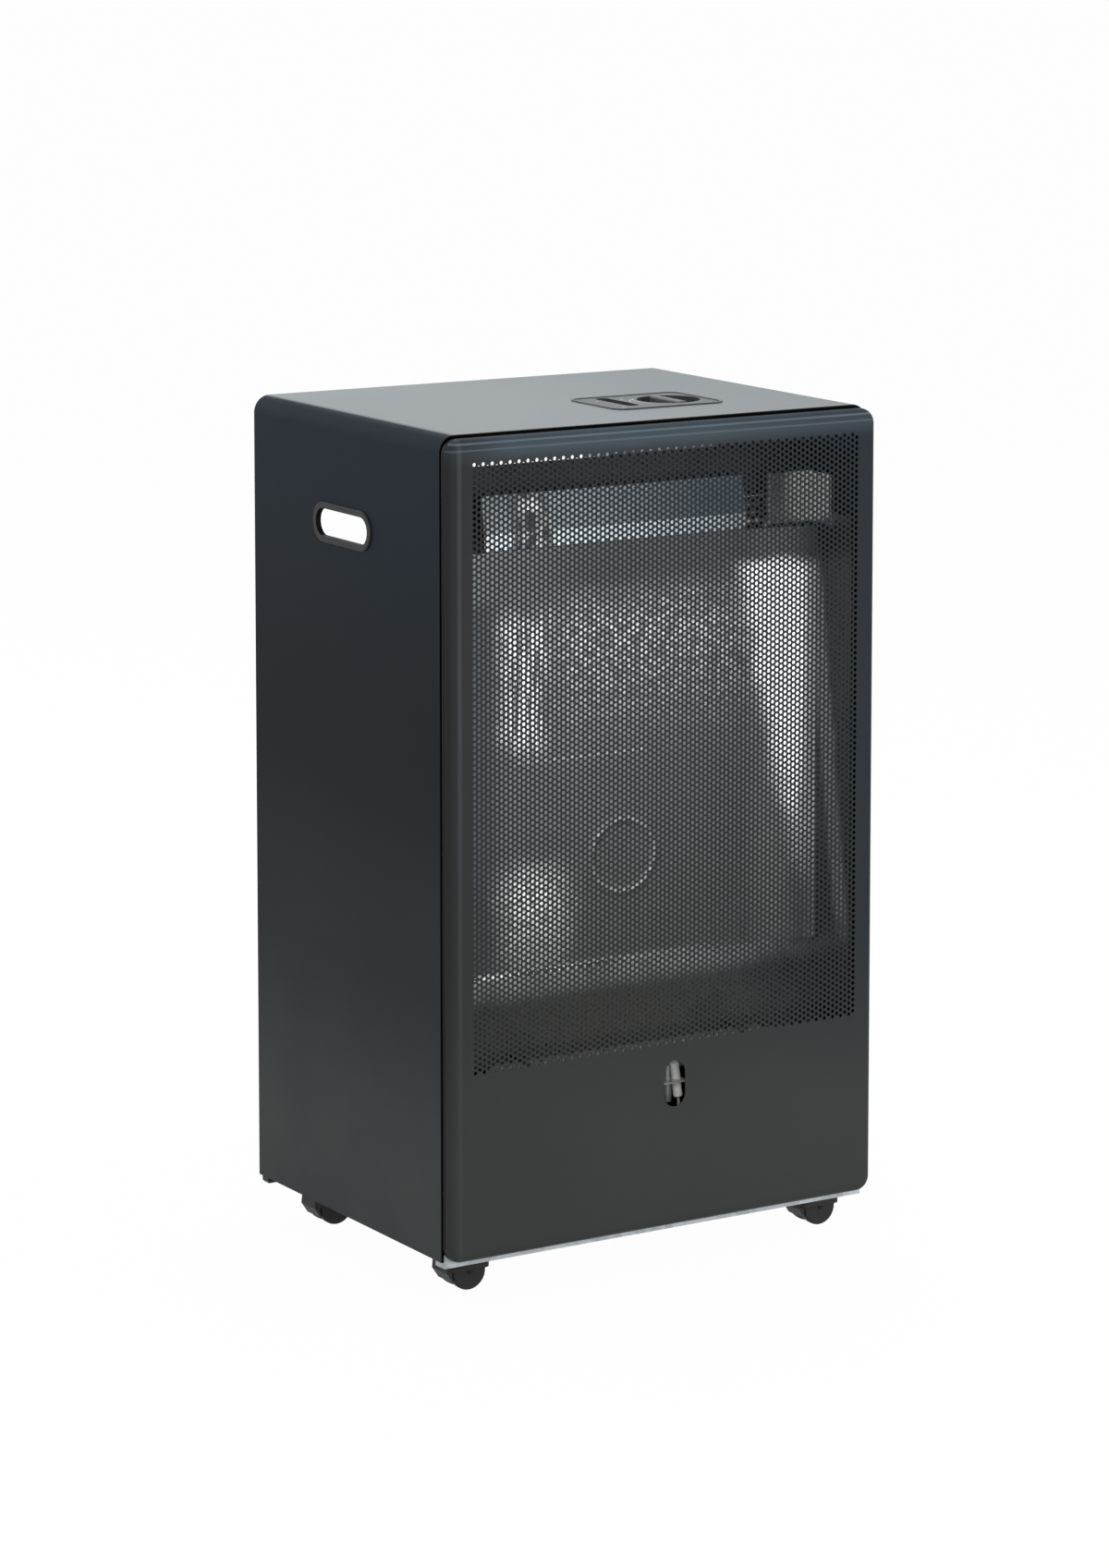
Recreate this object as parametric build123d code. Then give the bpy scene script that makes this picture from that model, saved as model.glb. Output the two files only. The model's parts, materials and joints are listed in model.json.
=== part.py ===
"""Portable gas cabinet heater: a steel cabinet on casters with a blue-flame burner behind a
perforated front and a bay for a small gas bottle behind a hinged rear cover.

Millimetres. +X is the heater's left-to-right as seen from the front, -Y is the front, +Z is up.
The origin is on the floor, under the middle of the whole heater.
"""
from build123d import *
from math import cos, radians, sqrt
import os

# ---- cabinet -------------------------------------------------------------------------------
CABINET_WIDTH = 427.0
CABINET_DEPTH = 326.0
CABINET_HEIGHT = 700.0
SHEET = 1.0                 # pressed steel sheet
CABINET_BEND = 15.0         # outer radius of the two top edges
CABINET_LIP = 12.0          # inward lip round the open front and back

# ---- front panel ---------------------------------------------------------------------------
PANEL_PROUD = 16.5          # panel face ahead of the cabinet's front edge
PANEL_GAP = 3.0             # dark gap between panel and cabinet
PANEL_OVERHANG = 0.5        # panel beyond the cabinet side, each side
PANEL_DROP = 2.5            # panel top below the cabinet top
PANEL_LIFT = 1.0            # panel bottom above the cabinet bottom
PANEL_CORNER = 13.0
PANEL_EDGE = 8.0            # radius from the face into the sides
PANEL_LIP = 14.0            # inward lip at the panel's back
GRILLE_SIDE_MARGIN = 22.0   # plain strip beside the holes, each side
GRILLE_TOP_MARGIN = 19.0
GRILLE_RISE = 161.0         # lowest holes above the cabinet's bottom edge
GRILLE_SHIFT = 1.5          # grille right of the middle
HOLE_PITCH = 27.0
HOLE_DIAMETER = 18.0
SIGHT_WIDTH = 21.5          # upright slot that shows the pilot
SIGHT_HEIGHT = 40.3
SIGHT_X = 7.4
SIGHT_RISE = 126.7          # slot's middle above the cabinet's bottom edge
SPACER_DIAMETER = 11.0
SPACER_LOW = 59.0           # lowest screws above the panel's bottom edge
SPACER_HIGH = 47.5          # highest screws below its top edge
SCREW_DIAMETER = 4.0
SCREW_HEAD_DIAMETER = 8.0
SCREW_HEAD_HEIGHT = 2.5
SCREW_BITE = 4.0            # screw length past the cabinet's lip and the spacer

# ---- rear cover ----------------------------------------------------------------------------
COVER_PROUD = 9.5           # cover's back behind the cabinet
COVER_INSET = 10.5          # cover inside the cabinet side, each side
COVER_LIFT = 4.0            # cover's bottom above the cabinet's bottom edge
COVER_OPEN = 170.0          # open height left above the cover
COVER_CORNER = 10.0
COVER_EDGE = 5.0
COVER_LIP = 3.0
COVER_GAP = 0.3             # closed cover to the cabinet's back
LOUVRE_LENGTH = 56.0
LOUVRE_HEIGHT = 6.0
LOUVRE_PITCH_X = 76.0
LOUVRE_PITCH_Z = 18.0
LOUVRE_COLUMNS = 4
LOUVRE_ROWS = 5
LOUVRE_BANKS = (0.2, 0.8)   # middles of the two banks, as shares of the cover's height
HINGE_PIN_RADIUS = 1.5
HINGE_BARREL_RADIUS = 3.0
HINGE_RUNNING = 0.06        # radial clearance of the turning knuckle
HINGE_KNUCKLE = 13.4        # length of the turning knuckle
HINGE_END_PLAY = 0.3
HINGE_FIXED = 13.0          # length of each fixed knuckle
HINGE_INSET = 78.0          # hinge middles from the cover's bottom and top edges
HINGE_SIDE_GAP = 0.7        # barrel to the cover's side
HINGE_BACK_GAP = 1.5        # barrel to the plane of the cover's back
HINGE_LEAF = 1.2
HINGE_LEAF_INSET = 3.5      # leaf inside the cabinet's side
HINGE_PIN_END = 1.0         # pin past each fixed knuckle
CATCH_HEIGHT = 30.0
CATCH_WIDTH = 9.0
CATCH_DEPTH = 10.0          # catch block ahead of the cabinet's back
CATCH_PLATE = 3.0
CATCH_GAP = 0.3             # magnet to the closed cover

# ---- base tray, casters, rear feet ---------------------------------------------------------
TRAY_RISE = 6.0             # tray floor above the cabinet's bottom edge
TRAY_FLANGE_INSET = 2.0     # bright front flange inside the cabinet's width, each side
TRAY_FLANGE_DROP = 5.3      # flange below the cabinet's bottom edge
TRAY_FLANGE_RISE = 4.0      # flange above the tray floor
TRAY_FLANGE_CHAMFER = 4.0
TRAY_TAB_LENGTH = 15.0      # short return of the flange round the front corners
TRAY_TAB_GAP = 0.3          # return below the cabinet's side
TRAY_PROUD = 1.3            # flange ahead of the cabinet's front edge
CASTER_SIDE_INSET = 33.5    # swivel axis from the cabinet's side
CASTER_FRONT_INSET = 48.0
CASTER_REAR_INSET = 44.0
CASTER_TRAIL = 14.0
WHEEL_RADIUS = 16.0
WHEEL_ROOM = 8.0            # wheel's top to the cabinet's bottom edge
WHEEL_WIDTH = 8.2
WHEEL_SIDE_PLAY = 0.4
WHEEL_EDGE = 2.0
AXLE_RADIUS = 2.0
AXLE_RUNNING = 0.05
AXLE_HEAD = 0.8             # axle end past the wheel's face
STEM_RADIUS = 4.0
STEM_RUNNING = 0.05
STEM_GRIP = 12.7            # stem length held in the hood
STEM_END_GAP = 0.5
HOOD_LENGTH = 41.5
HOOD_CORNER = 7.0
HOOD_CENTRE = 12.75          # hood middle behind the swivel axis
HOOD_SIDE_GAP = 1.2         # axle end to the hood's wall
HOOD_WALL = 2.0
HOOD_ROOF = 3.0
HOOD_DEPTH = 20.0
HOOD_WEB = 8.8              # thickness of the middle web between the wheels
HOOD_WHEEL_GAP = 1.0
HOOD_NOSE_RISE = 1.0        # nose's lower front corner above the axle
SWIVEL_GAP = 0.3
SOCKET_FLANGE = 6.0
SOCKET_FLANGE_RADIUS = 13.0
SOCKET_RADIUS = 7.0
SOCKET_HEIGHT = 19.0        # socket above the tray's underside
SOCKET_CAP = 2.5
FOOT_DROP = 7.0             # rear foot below the cabinet's bottom edge
FOOT_LENGTH = 11.0
FOOT_WIDTH = 12.0
FOOT_EDGE = 3.0

# ---- carrying handles ----------------------------------------------------------------------
HANDLE_SHIFT = 3.0          # slot behind the middle of the cabinet side
HANDLE_DROP = 96.0          # slot's middle below the cabinet's top
HANDLE_LENGTH = 90.0        # clear opening
HANDLE_OPENING = 24.0
HANDLE_RIM = 5.5            # rim beyond the opening
HANDLE_RIM_THICK = 1.5
HANDLE_SLEEVE = 1.5
HANDLE_DEPTH = 3.5
HANDLE_FIT = 0.3

# ---- controls in the top -------------------------------------------------------------------
CONTROL_X = 60.0
CONTROL_INSET = 114.5       # controls' middle behind the cabinet's front edge
CONTROL_LENGTH = 113.0
CONTROL_WIDTH = 88.0
CONTROL_CORNER = 13.0
CONTROL_RIM = 0.8
CONTROL_RIM_WIDTH = 3.0
CONTROL_WALL = 2.0
CONTROL_FIT = 0.3
CONTROL_DEPTH = 16.0        # knob well's floor below the cabinet's top
CONTROL_FACE = 0.6          # face below the rim's top
CONTROL_SKIRT = 11.0        # wall under the face
CONTROL_CLIP_WIDTH = 10.0
CONTROL_CLIP_HEIGHT = 3.0
CONTROL_CLIP_REACH = 2.0
KNOB_RIGHT = 22.0           # knob axis right of the controls' middle
KNOB_FORWARD = 0.5
KNOB_RADIUS = 26.0
KNOB_DISC = 5.0
KNOB_GRIP_WIDTH = 9.0
KNOB_GRIP_HEIGHT = 7.0
KNOB_GRIP_INSET = 2.0       # grip's ends inside the disc's edge
KNOB_PRESS = 4.0            # travel of the press
KNOB_STOP_GAP = 1.0         # left under the pressed knob
KNOB_WELL_GAP = 2.0         # knob to the wall of its well
VALVE_STEM_RADIUS = 4.0
VALVE_STEM_RUNNING = 0.05
STEM_HOLE_GAP = 0.5         # stem to the hole in the tray
COLLAR_RADIUS = 8.0
COLLAR_HEIGHT = 3.6
COLLAR_GAP = 0.4
COLLAR_STOP_GAP = 1.8       # pressed collar to the valve's neck
IGNITER_LEFT = 27.0         # igniter left of the controls' middle
IGNITER_BACK = 5.5
BUTTON_LENGTH = 60.0
BUTTON_WIDTH = 12.0
BUTTON_LIFT = 13.0          # button top above the tray floor
BUTTON_EDGE = 1.5
BUTTON_PRESS = 5.0
BUTTON_SKIRT = 8.0          # button below the tray floor
BUTTON_FIT = 0.3
BUTTON_STOP_GAP = 3.0       # pressed button to the igniter's body
BUTTON_STEM_RADIUS = 3.5
BUTTON_STEM_LENGTH = 22.0
BUTTON_STEM_RUNNING = 0.05
BUTTON_STEM_END = 1.0       # bore left under the pressed stem
WELL_WALL = 1.5
IGNITER_RADIUS = 9.0
IGNITER_FLANGE_RADIUS = 12.0
IGNITER_FLANGE = 2.0
IGNITER_LENGTH = 44.0

# ---- valve and its bracket -----------------------------------------------------------------
BRACKET_SHEET = 1.2
BRACKET_INSET = 1.0         # bracket's side inside the controls' rim
BRACKET_AHEAD = 28.0        # bracket's front ahead of the controls' middle
BRACKET_BEHIND = 24.0
BRACKET_LEG_BEHIND = 16.0
BRACKET_LIP = 32.0          # height of the bracket's front lip
BRACKET_EAR = 10.0
VALVE_LENGTH = 46.0
VALVE_WIDTH = 30.0
VALVE_HEIGHT = 24.0
VALVE_CORNER = 3.0
VALVE_NECK_RADIUS = 10.0
VALVE_NECK = 8.0
PORT_RADIUS = 5.0
PORT_DROP = 8.0             # ports below the bracket's floor plate
PORT_PITCH = 12.0           # ports left and right of the knob's axis
NOZZLE_RADIUS = 4.0
NOZZLE_LENGTH = 24.0
NOZZLE_BORE = 4.0
NOZZLE_WEB = 2.0            # closed end of the bore
INLET_HEX = 17.0
INLET_LENGTH = 12.0

# ---- combustion chamber --------------------------------------------------------------------
CHAMBER_DEPTH = 83.0        # cabinet's front edge to the wall ahead of the bottle bay
CHAMBER_INSET = 11.5        # chamber inside the cabinet's side, each side
CHAMBER_SETBACK = 4.0       # side reflectors behind the cabinet's front edge
BULKHEAD_DROP = 41.0        # bulkhead's top below the cabinet's top
BULKHEAD_FLANGE = 12.0
BULKHEAD_TOP_LIP = 8.0      # folded forwards
REFLECTOR_GAP = 11.0        # back reflector's face ahead of the bulkhead
REFLECTOR_RISE = 216.0      # reflector's bottom above the cabinet's bottom edge
REFLECTOR_DROP = 73.0       # reflector's top below the bulkhead's top
EMBOSS_X = 10.0
EMBOSS_RISE = 94.0          # ring's middle above the reflector's bottom
EMBOSS_RADIUS = 34.5
EMBOSS_WIDTH = 3.0
EMBOSS_HEIGHT = 1.2
SIDE_DROP = 25.0            # side reflector's top below the bulkhead's top
SIDE_STEP = 34.0            # step down of its front part
SIDE_STEP_DEPTH = 32.0
SIDE_FALL = 60.0            # side reflector below the back reflector
DEFLECTOR_INSET = 70.0      # top deflector inside the chamber, each side
DEFLECTOR_LIFT = 2.0        # above the back reflector
DEFLECTOR_LIP = 14.0
DEFLECTOR_DROP = 24.0       # deflector's top below the bulkhead's top
DEFLECTOR_FORWARD = 5.5     # lip ahead of the back reflector
DEFLECTOR_LEAN = 4.4        # how far the upper part leans back
CORNER_GUIDE_REACH = 45.0
CORNER_GUIDE_DEPTH = 37.0
CORNER_GUIDE_LIFT = 1.0     # guide above the deflector's lower edge
SHIELD_INSET = 18.5         # heat shield inside the cabinet's side, each side
SHIELD_SETBACK = 9.5        # shield behind the cabinet's front edge
SHIELD_DROP = 17.0          # plate below the cabinet's top sheet
FLOOR_REACH = 24.5          # sloping floor's lip ahead of the back reflector
FLOOR_FALL = 56.0
FLOOR_LIP = 14.0

# ---- burner --------------------------------------------------------------------------------
BURNER_GAP = 3.0            # burner to the sloping floor's lip
BURNER_FALL = 20.0          # burner's axis below the sloping floor's lower end
BURNER_RADIUS = 13.0
BURNER_INSET = 50.0         # burner's left end inside the chamber
BURNER_WALL = 1.2
PORT_SLOT_WIDTH = 2.0
PORT_SLOT_LENGTH = 11.0
PORT_SLOT_PITCH = 7.0
NECK_RADIUS = 9.5
NECK_LENGTH = 12.0
MIXER_WALL = 1.5
MIXER_OVERLAP = 8.0         # mixer tube over the neck
MIXER_LENGTH = 38.0
AIR_HOLE_RADIUS = 4.5
AIR_HOLE_INSET = 8.5        # air holes from the injector's end of the mixer tube
INJECTOR_RADIUS = 5.0
INJECTOR_REACH = 12.0       # injector inside the mixer tube
INJECTOR_TAIL = 8.0
INJECTOR_COLLAR = 2.0
JET_RADIUS = 0.8
STAND_INSET = 33.0          # burner stands from the burner's ends
STAND_SHEET = 1.5
STAND_FOOT = 16.0
STAND_LEG = 6.0             # leg's front edge ahead of the burner's axis
STAND_HEAD = 3.0            # head beyond the burner
INJECTOR_LEG = 12.0         # leg width, ahead of the caster socket
INJECTOR_LEG_GAP = 1.0

# ---- pilot ---------------------------------------------------------------------------------
PILOT_PLATE_FALL = 6.0      # plate below the inspection slot's middle
PILOT_PLATE_LEFT = 4.6      # plate left of the slot's middle
PILOT_PLATE_RIGHT = 26.6
PILOT_PLATE_SETBACK = 3.5   # plate's front behind the cabinet's front edge
PILOT_PLATE_UNDER = 8.0     # plate's back behind the burner's axis
PILOT_LEG_RIGHT = 4.2       # leg right of the slot's middle
PILOT_LEG_SETBACK = 9.5
PILOT_RIGHT = 9.9          # pilot burner right of the slot's middle
PILOT_SETBACK = 11.0        # pilot burner behind the cabinet's front edge
PILOT_RADIUS = 3.5
PILOT_BELOW = 17.0          # pilot burner below and above its plate
PILOT_ABOVE = 4.0
PILOT_HOOD = 11.0
PILOT_HOOD_WALL = 0.8
ELECTRODE_SETBACK = 13.0    # ceramic behind the cabinet's front edge
ELECTRODE_TOP_RIGHT = 18.0  # ceramic's upper end right of the slot's middle
ELECTRODE_TOP_RISE = 16.3   # and above the plate
ELECTRODE_FOOT_RIGHT = 22.1
ELECTRODE_FOOT_FALL = 14.7
ELECTRODE_RADIUS = 4.2
ELECTRODE_CHAMFER = 0.8
ELECTRODE_PIN_RADIUS = 1.2
ELECTRODE_TERMINAL = 7.0
ELECTRODE_TIP = 5.0
THERMOCOUPLE_RIGHT = 0.4
THERMOCOUPLE_SETBACK = 7.5
THERMOCOUPLE_RADIUS = 2.2
THERMOCOUPLE_BELOW = 12.0
THERMOCOUPLE_ABOVE = 16.0

# ---- pipes and leads -----------------------------------------------------------------------
RUN_GAP = 5.5               # upright runs' axes ahead of the bulkhead
BURNER_PIPE_RADIUS = 3.0
PILOT_PIPE_RADIUS = 2.0
THERMO_LEAD_RADIUS = 1.2
IGNITION_LEAD_RADIUS = 1.5
PIPE_BEND = 9.0
LEAD_BEND = 6.0
PIPE_STRAIGHT = 7.0         # straight left under a port before the first bend
FITTING_STRAIGHT = 1.0      # straight left after the last bend
LEVEL_PITCH = 7.5           # between the levels at which pipes cross the bulkhead
COLUMN_INSET = 8.0          # burner pipe's upright run inside the chamber
COLUMN_PITCH = 11.0         # between the upright runs
PILOT_PIPE_FALL = 28.0      # lowest run below the pilot burner
THERMO_LEAD_FALL = 42.0
IGNITION_LEAD_FALL = 44.0
IGNITION_LEAD_BACK = 4.0    # lead's low run behind the electrode
IGNITION_LEAD_END = 5.0     # straight under the terminal
IGNITION_LEAD_EASE = 14.0   # height in which the lead comes forward to the terminal
WINDOW_MARGIN = 5.0
LEAD_HOLE_RADIUS = 4.0

# ---- worked out ----------------------------------------------------------------------------
CUT = 1.0                   # how far a cutter runs past what it cuts
PANEL_FACE = -(CABINET_DEPTH + PANEL_PROUD + COVER_PROUD) / 2
CABINET_FRONT = PANEL_FACE + PANEL_PROUD
CABINET_BACK = CABINET_FRONT + CABINET_DEPTH
COVER_BACK = CABINET_BACK + COVER_PROUD
HALF_WIDTH = CABINET_WIDTH / 2
INNER_HALF = HALF_WIDTH - SHEET
CABINET_BOTTOM = 2 * WHEEL_RADIUS + WHEEL_ROOM
CABINET_TOP = CABINET_BOTTOM + CABINET_HEIGHT
ROOF_UNDER = CABINET_TOP - SHEET

PANEL_HALF = HALF_WIDTH + PANEL_OVERHANG
PANEL_TOP = CABINET_TOP - PANEL_DROP
PANEL_BOTTOM = CABINET_BOTTOM + PANEL_LIFT
PANEL_BACK = CABINET_FRONT - PANEL_GAP
GRILLE_WIDTH = 2 * (PANEL_HALF - GRILLE_SIDE_MARGIN)
GRILLE_BOTTOM = CABINET_BOTTOM + GRILLE_RISE
GRILLE_HEIGHT = PANEL_TOP - GRILLE_TOP_MARGIN - GRILLE_BOTTOM
SIGHT_Z = CABINET_BOTTOM + SIGHT_RISE
SPACER_X = (PANEL_HALF - PANEL_LIP + HALF_WIDTH) / 2
SPACER_HEIGHTS = (PANEL_BOTTOM + SPACER_LOW, (PANEL_BOTTOM + PANEL_TOP) / 2, PANEL_TOP - SPACER_HIGH)

COVER_HALF = HALF_WIDTH - COVER_INSET
COVER_BOTTOM = CABINET_BOTTOM + COVER_LIFT
COVER_TOP = CABINET_TOP - COVER_OPEN
COVER_HEIGHT = COVER_TOP - COVER_BOTTOM
COVER_FRONT = CABINET_BACK + COVER_GAP
HINGE_X = -(COVER_HALF + HINGE_BARREL_RADIUS + HINGE_SIDE_GAP)
HINGE_Y = COVER_BACK - HINGE_BARREL_RADIUS - HINGE_BACK_GAP
HINGE_HEIGHTS = (COVER_BOTTOM + HINGE_INSET, COVER_TOP - HINGE_INSET)
CATCH_Z = (COVER_BOTTOM + COVER_TOP) / 2

TRAY_TOP = CABINET_BOTTOM + TRAY_RISE
TRAY_UNDER = TRAY_TOP - SHEET
TRAY_FRONT = CABINET_FRONT - TRAY_PROUD
TRAY_BACK = CABINET_BACK - SHEET
TRAY_FLANGE_HALF = HALF_WIDTH - TRAY_FLANGE_INSET
TRAY_FLANGE_BOTTOM = CABINET_BOTTOM - TRAY_FLANGE_DROP
TRAY_FLANGE_TOP = TRAY_TOP + TRAY_FLANGE_RISE
CASTER_X = HALF_WIDTH - CASTER_SIDE_INSET
CASTER_FRONT_Y = CABINET_FRONT + CASTER_FRONT_INSET
CASTER_REAR_Y = CABINET_BACK - CASTER_REAR_INSET
SOCKET_BOTTOM = TRAY_UNDER - SOCKET_FLANGE
SOCKET_TOP = TRAY_UNDER + SOCKET_HEIGHT
HOOD_TOP = SOCKET_BOTTOM - SWIVEL_GAP
HOOD_SKIRT_BOTTOM = HOOD_TOP - HOOD_DEPTH
AXLE_Z = WHEEL_RADIUS
HOOD_NOSE_BOTTOM = AXLE_Z + HOOD_NOSE_RISE
STEM_BOTTOM = HOOD_TOP - STEM_GRIP
STEM_TOP = SOCKET_TOP - SOCKET_CAP - STEM_END_GAP
WHEEL_INNER = HOOD_WEB / 2 + WHEEL_SIDE_PLAY
WHEEL_OUTER = WHEEL_INNER + WHEEL_WIDTH
HOOD_WIDTH = 2 * (WHEEL_OUTER + AXLE_HEAD + HOOD_SIDE_GAP + HOOD_WALL)
FOOT_BOTTOM = CABINET_BOTTOM - FOOT_DROP

HANDLE_Y = (CABINET_FRONT + CABINET_BACK) / 2 + HANDLE_SHIFT
HANDLE_Z = CABINET_TOP - HANDLE_DROP

CONTROL_Y = CABINET_FRONT + CONTROL_INSET
CONTROL_FLOOR = CABINET_TOP - CONTROL_DEPTH
CONTROL_UNDER = CONTROL_FLOOR - CONTROL_WALL
CONTROL_FACE_Z = CABINET_TOP + CONTROL_RIM - CONTROL_FACE
KNOB_X = CONTROL_X + KNOB_RIGHT
KNOB_Y = CONTROL_Y - KNOB_FORWARD
KNOB_BOTTOM = CONTROL_FLOOR + KNOB_PRESS + KNOB_STOP_GAP
KNOB_TOP = KNOB_BOTTOM + KNOB_DISC + KNOB_GRIP_HEIGHT
COLLAR_TOP = CONTROL_UNDER - COLLAR_GAP
COLLAR_BOTTOM = COLLAR_TOP - COLLAR_HEIGHT
NECK_TOP = COLLAR_BOTTOM - KNOB_PRESS - COLLAR_STOP_GAP
VALVE_TOP = NECK_TOP - VALVE_NECK
BRACKET_FLOOR = VALVE_TOP - VALVE_HEIGHT
BRACKET_UNDER = BRACKET_FLOOR - BRACKET_SHEET
VALVE_STEM_BOTTOM = BRACKET_FLOOR + VALVE_HEIGHT / 2
PORT_BOTTOM = BRACKET_UNDER - PORT_DROP
PORT_XS = {"burner": KNOB_X + PORT_PITCH, "pilot": KNOB_X, "thermo": KNOB_X - PORT_PITCH}
IGNITER_X = CONTROL_X - IGNITER_LEFT
IGNITER_Y = CONTROL_Y + IGNITER_BACK
BUTTON_TOP = CONTROL_FLOOR + BUTTON_LIFT
BUTTON_BOTTOM = CONTROL_FLOOR - BUTTON_SKIRT
BUTTON_STEM_BOTTOM = BUTTON_BOTTOM - BUTTON_STEM_LENGTH
IGNITER_TOP = BUTTON_BOTTOM - BUTTON_PRESS - BUTTON_STOP_GAP
IGNITER_BOTTOM = IGNITER_TOP - IGNITER_LENGTH
BRACKET_LEFT = CONTROL_X - CONTROL_LENGTH / 2 + BRACKET_INSET
BRACKET_RIGHT = CONTROL_X + CONTROL_LENGTH / 2 - BRACKET_INSET
BRACKET_FRONT_Y = CONTROL_Y - BRACKET_AHEAD
BRACKET_BACK_Y = CONTROL_Y + BRACKET_BEHIND
BRACKET_LEG_BACK_Y = CONTROL_Y + BRACKET_LEG_BEHIND

CHAMBER_HALF = HALF_WIDTH - CHAMBER_INSET
CHAMBER_FRONT_Y = CABINET_FRONT + CHAMBER_SETBACK
BULKHEAD_Y = CABINET_FRONT + CHAMBER_DEPTH
BULKHEAD_TOP = CABINET_TOP - BULKHEAD_DROP
REFLECTOR_Y = BULKHEAD_Y - REFLECTOR_GAP
REFLECTOR_BOTTOM = CABINET_BOTTOM + REFLECTOR_RISE
REFLECTOR_TOP = BULKHEAD_TOP - REFLECTOR_DROP
EMBOSS_Z = REFLECTOR_BOTTOM + EMBOSS_RISE
SIDE_TOP = BULKHEAD_TOP - SIDE_DROP
SIDE_STEP_TOP = SIDE_TOP - SIDE_STEP
SIDE_STEP_Y = CHAMBER_FRONT_Y + SIDE_STEP_DEPTH
SIDE_BOTTOM = REFLECTOR_BOTTOM - SIDE_FALL
DEFLECTOR_HALF = CHAMBER_HALF - DEFLECTOR_INSET
DEFLECTOR_BOTTOM = REFLECTOR_TOP + DEFLECTOR_LIFT
DEFLECTOR_CREASE = DEFLECTOR_BOTTOM + DEFLECTOR_LIP
DEFLECTOR_TOP = BULKHEAD_TOP - DEFLECTOR_DROP
DEFLECTOR_FRONT_Y = REFLECTOR_Y - DEFLECTOR_FORWARD
DEFLECTOR_BACK_Y = DEFLECTOR_FRONT_Y + DEFLECTOR_LEAN
SHIELD_HALF = HALF_WIDTH - SHIELD_INSET
SHIELD_FRONT_Y = CABINET_FRONT + SHIELD_SETBACK
SHIELD_BACK_Y = CONTROL_Y - CONTROL_WIDTH / 2
FLOOR_KNEE_Y = REFLECTOR_Y - FLOOR_REACH
FLOOR_KNEE_Z = REFLECTOR_BOTTOM - FLOOR_FALL
FLOOR_LIP_Z = FLOOR_KNEE_Z - FLOOR_LIP

COLUMN_X = CHAMBER_HALF - COLUMN_INSET
BURNER_Y = FLOOR_KNEE_Y - BURNER_RADIUS - BURNER_GAP
BURNER_Z = FLOOR_KNEE_Z - BURNER_FALL
INJECTOR_END = COLUMN_X - PIPE_BEND - FITTING_STRAIGHT
INJECTOR_BRACKET_X = INJECTOR_END - INJECTOR_TAIL
INJECTOR_START = INJECTOR_BRACKET_X - INJECTOR_REACH
MIXER_START = INJECTOR_BRACKET_X - MIXER_LENGTH
NECK_END = MIXER_START + MIXER_OVERLAP
BURNER_RIGHT = NECK_END - NECK_LENGTH
BURNER_LEFT = -CHAMBER_HALF + BURNER_INSET
BURNER_STANDS = (BURNER_LEFT + STAND_INSET, BURNER_RIGHT - STAND_INSET)
MIXER_RADIUS = NECK_RADIUS + MIXER_WALL

PILOT_PLATE_Z = SIGHT_Z - PILOT_PLATE_FALL
PILOT_PLATE_TOP = PILOT_PLATE_Z + BRACKET_SHEET
PILOT_X = SIGHT_X + PILOT_RIGHT
PILOT_Y = CABINET_FRONT + PILOT_SETBACK
PILOT_BOTTOM = PILOT_PLATE_Z - PILOT_BELOW
PILOT_TOP = PILOT_PLATE_Z + PILOT_ABOVE
PILOT_HOOD_TOP = PILOT_TOP + PILOT_HOOD
ELECTRODE_Y = CABINET_FRONT + ELECTRODE_SETBACK
ELECTRODE_FOOT = Vector(SIGHT_X + ELECTRODE_FOOT_RIGHT, ELECTRODE_Y, PILOT_PLATE_Z - ELECTRODE_FOOT_FALL)
ELECTRODE_TOP = Vector(SIGHT_X + ELECTRODE_TOP_RIGHT, ELECTRODE_Y, PILOT_PLATE_Z + ELECTRODE_TOP_RISE)
ELECTRODE_AXIS = ELECTRODE_TOP - ELECTRODE_FOOT
THERMOCOUPLE_X = SIGHT_X + THERMOCOUPLE_RIGHT
THERMOCOUPLE_Y = CABINET_FRONT + THERMOCOUPLE_SETBACK
THERMOCOUPLE_BOTTOM = PILOT_PLATE_Z - THERMOCOUPLE_BELOW
THERMOCOUPLE_TOP = PILOT_PLATE_Z + THERMOCOUPLE_ABOVE

RUN_Y = BULKHEAD_Y - RUN_GAP
PIPE_LEVELS = {name: PORT_BOTTOM - PIPE_BEND - PIPE_STRAIGHT - index * LEVEL_PITCH
               for index, name in enumerate(("burner", "pilot", "thermo", "ignition"))}
PIPE_COLUMNS = {name: COLUMN_X - index * COLUMN_PITCH
                for index, name in enumerate(("burner", "pilot", "thermo", "ignition"))}


# ---- helpers -------------------------------------------------------------------------------
def block(x0, x1, y0, y1, z0, z1):
    """A box between two corners."""
    return Pos((x0 + x1) / 2, (y0 + y1) / 2, (z0 + z1) / 2) * Box(x1 - x0, y1 - y0, z1 - z0)


def rod_x(y, z, x0, x1, radius):
    return Pos((x0 + x1) / 2, y, z) * Rot(0, 90, 0) * Cylinder(radius, x1 - x0)


def rod_y(x, z, y0, y1, radius):
    return Pos(x, (y0 + y1) / 2, z) * Rot(90, 0, 0) * Cylinder(radius, y1 - y0)


def rod_z(x, y, z0, z1, radius):
    return Pos(x, y, (z0 + z1) / 2) * Cylinder(radius, z1 - z0)


def rounded(solid, axis, radius):
    """Fillet every edge of a box that runs along an axis."""
    return fillet(solid.edges().filter_by(axis), radius)


def obround_z(x, y, length, width, z0, z1):
    """A slot-shaped prism standing along Z, long in Y."""
    outline = Rot(0, 0, 90) * SlotOverall(length, width)
    return Pos(x, y, z0) * extrude(outline, z1 - z0)


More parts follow.
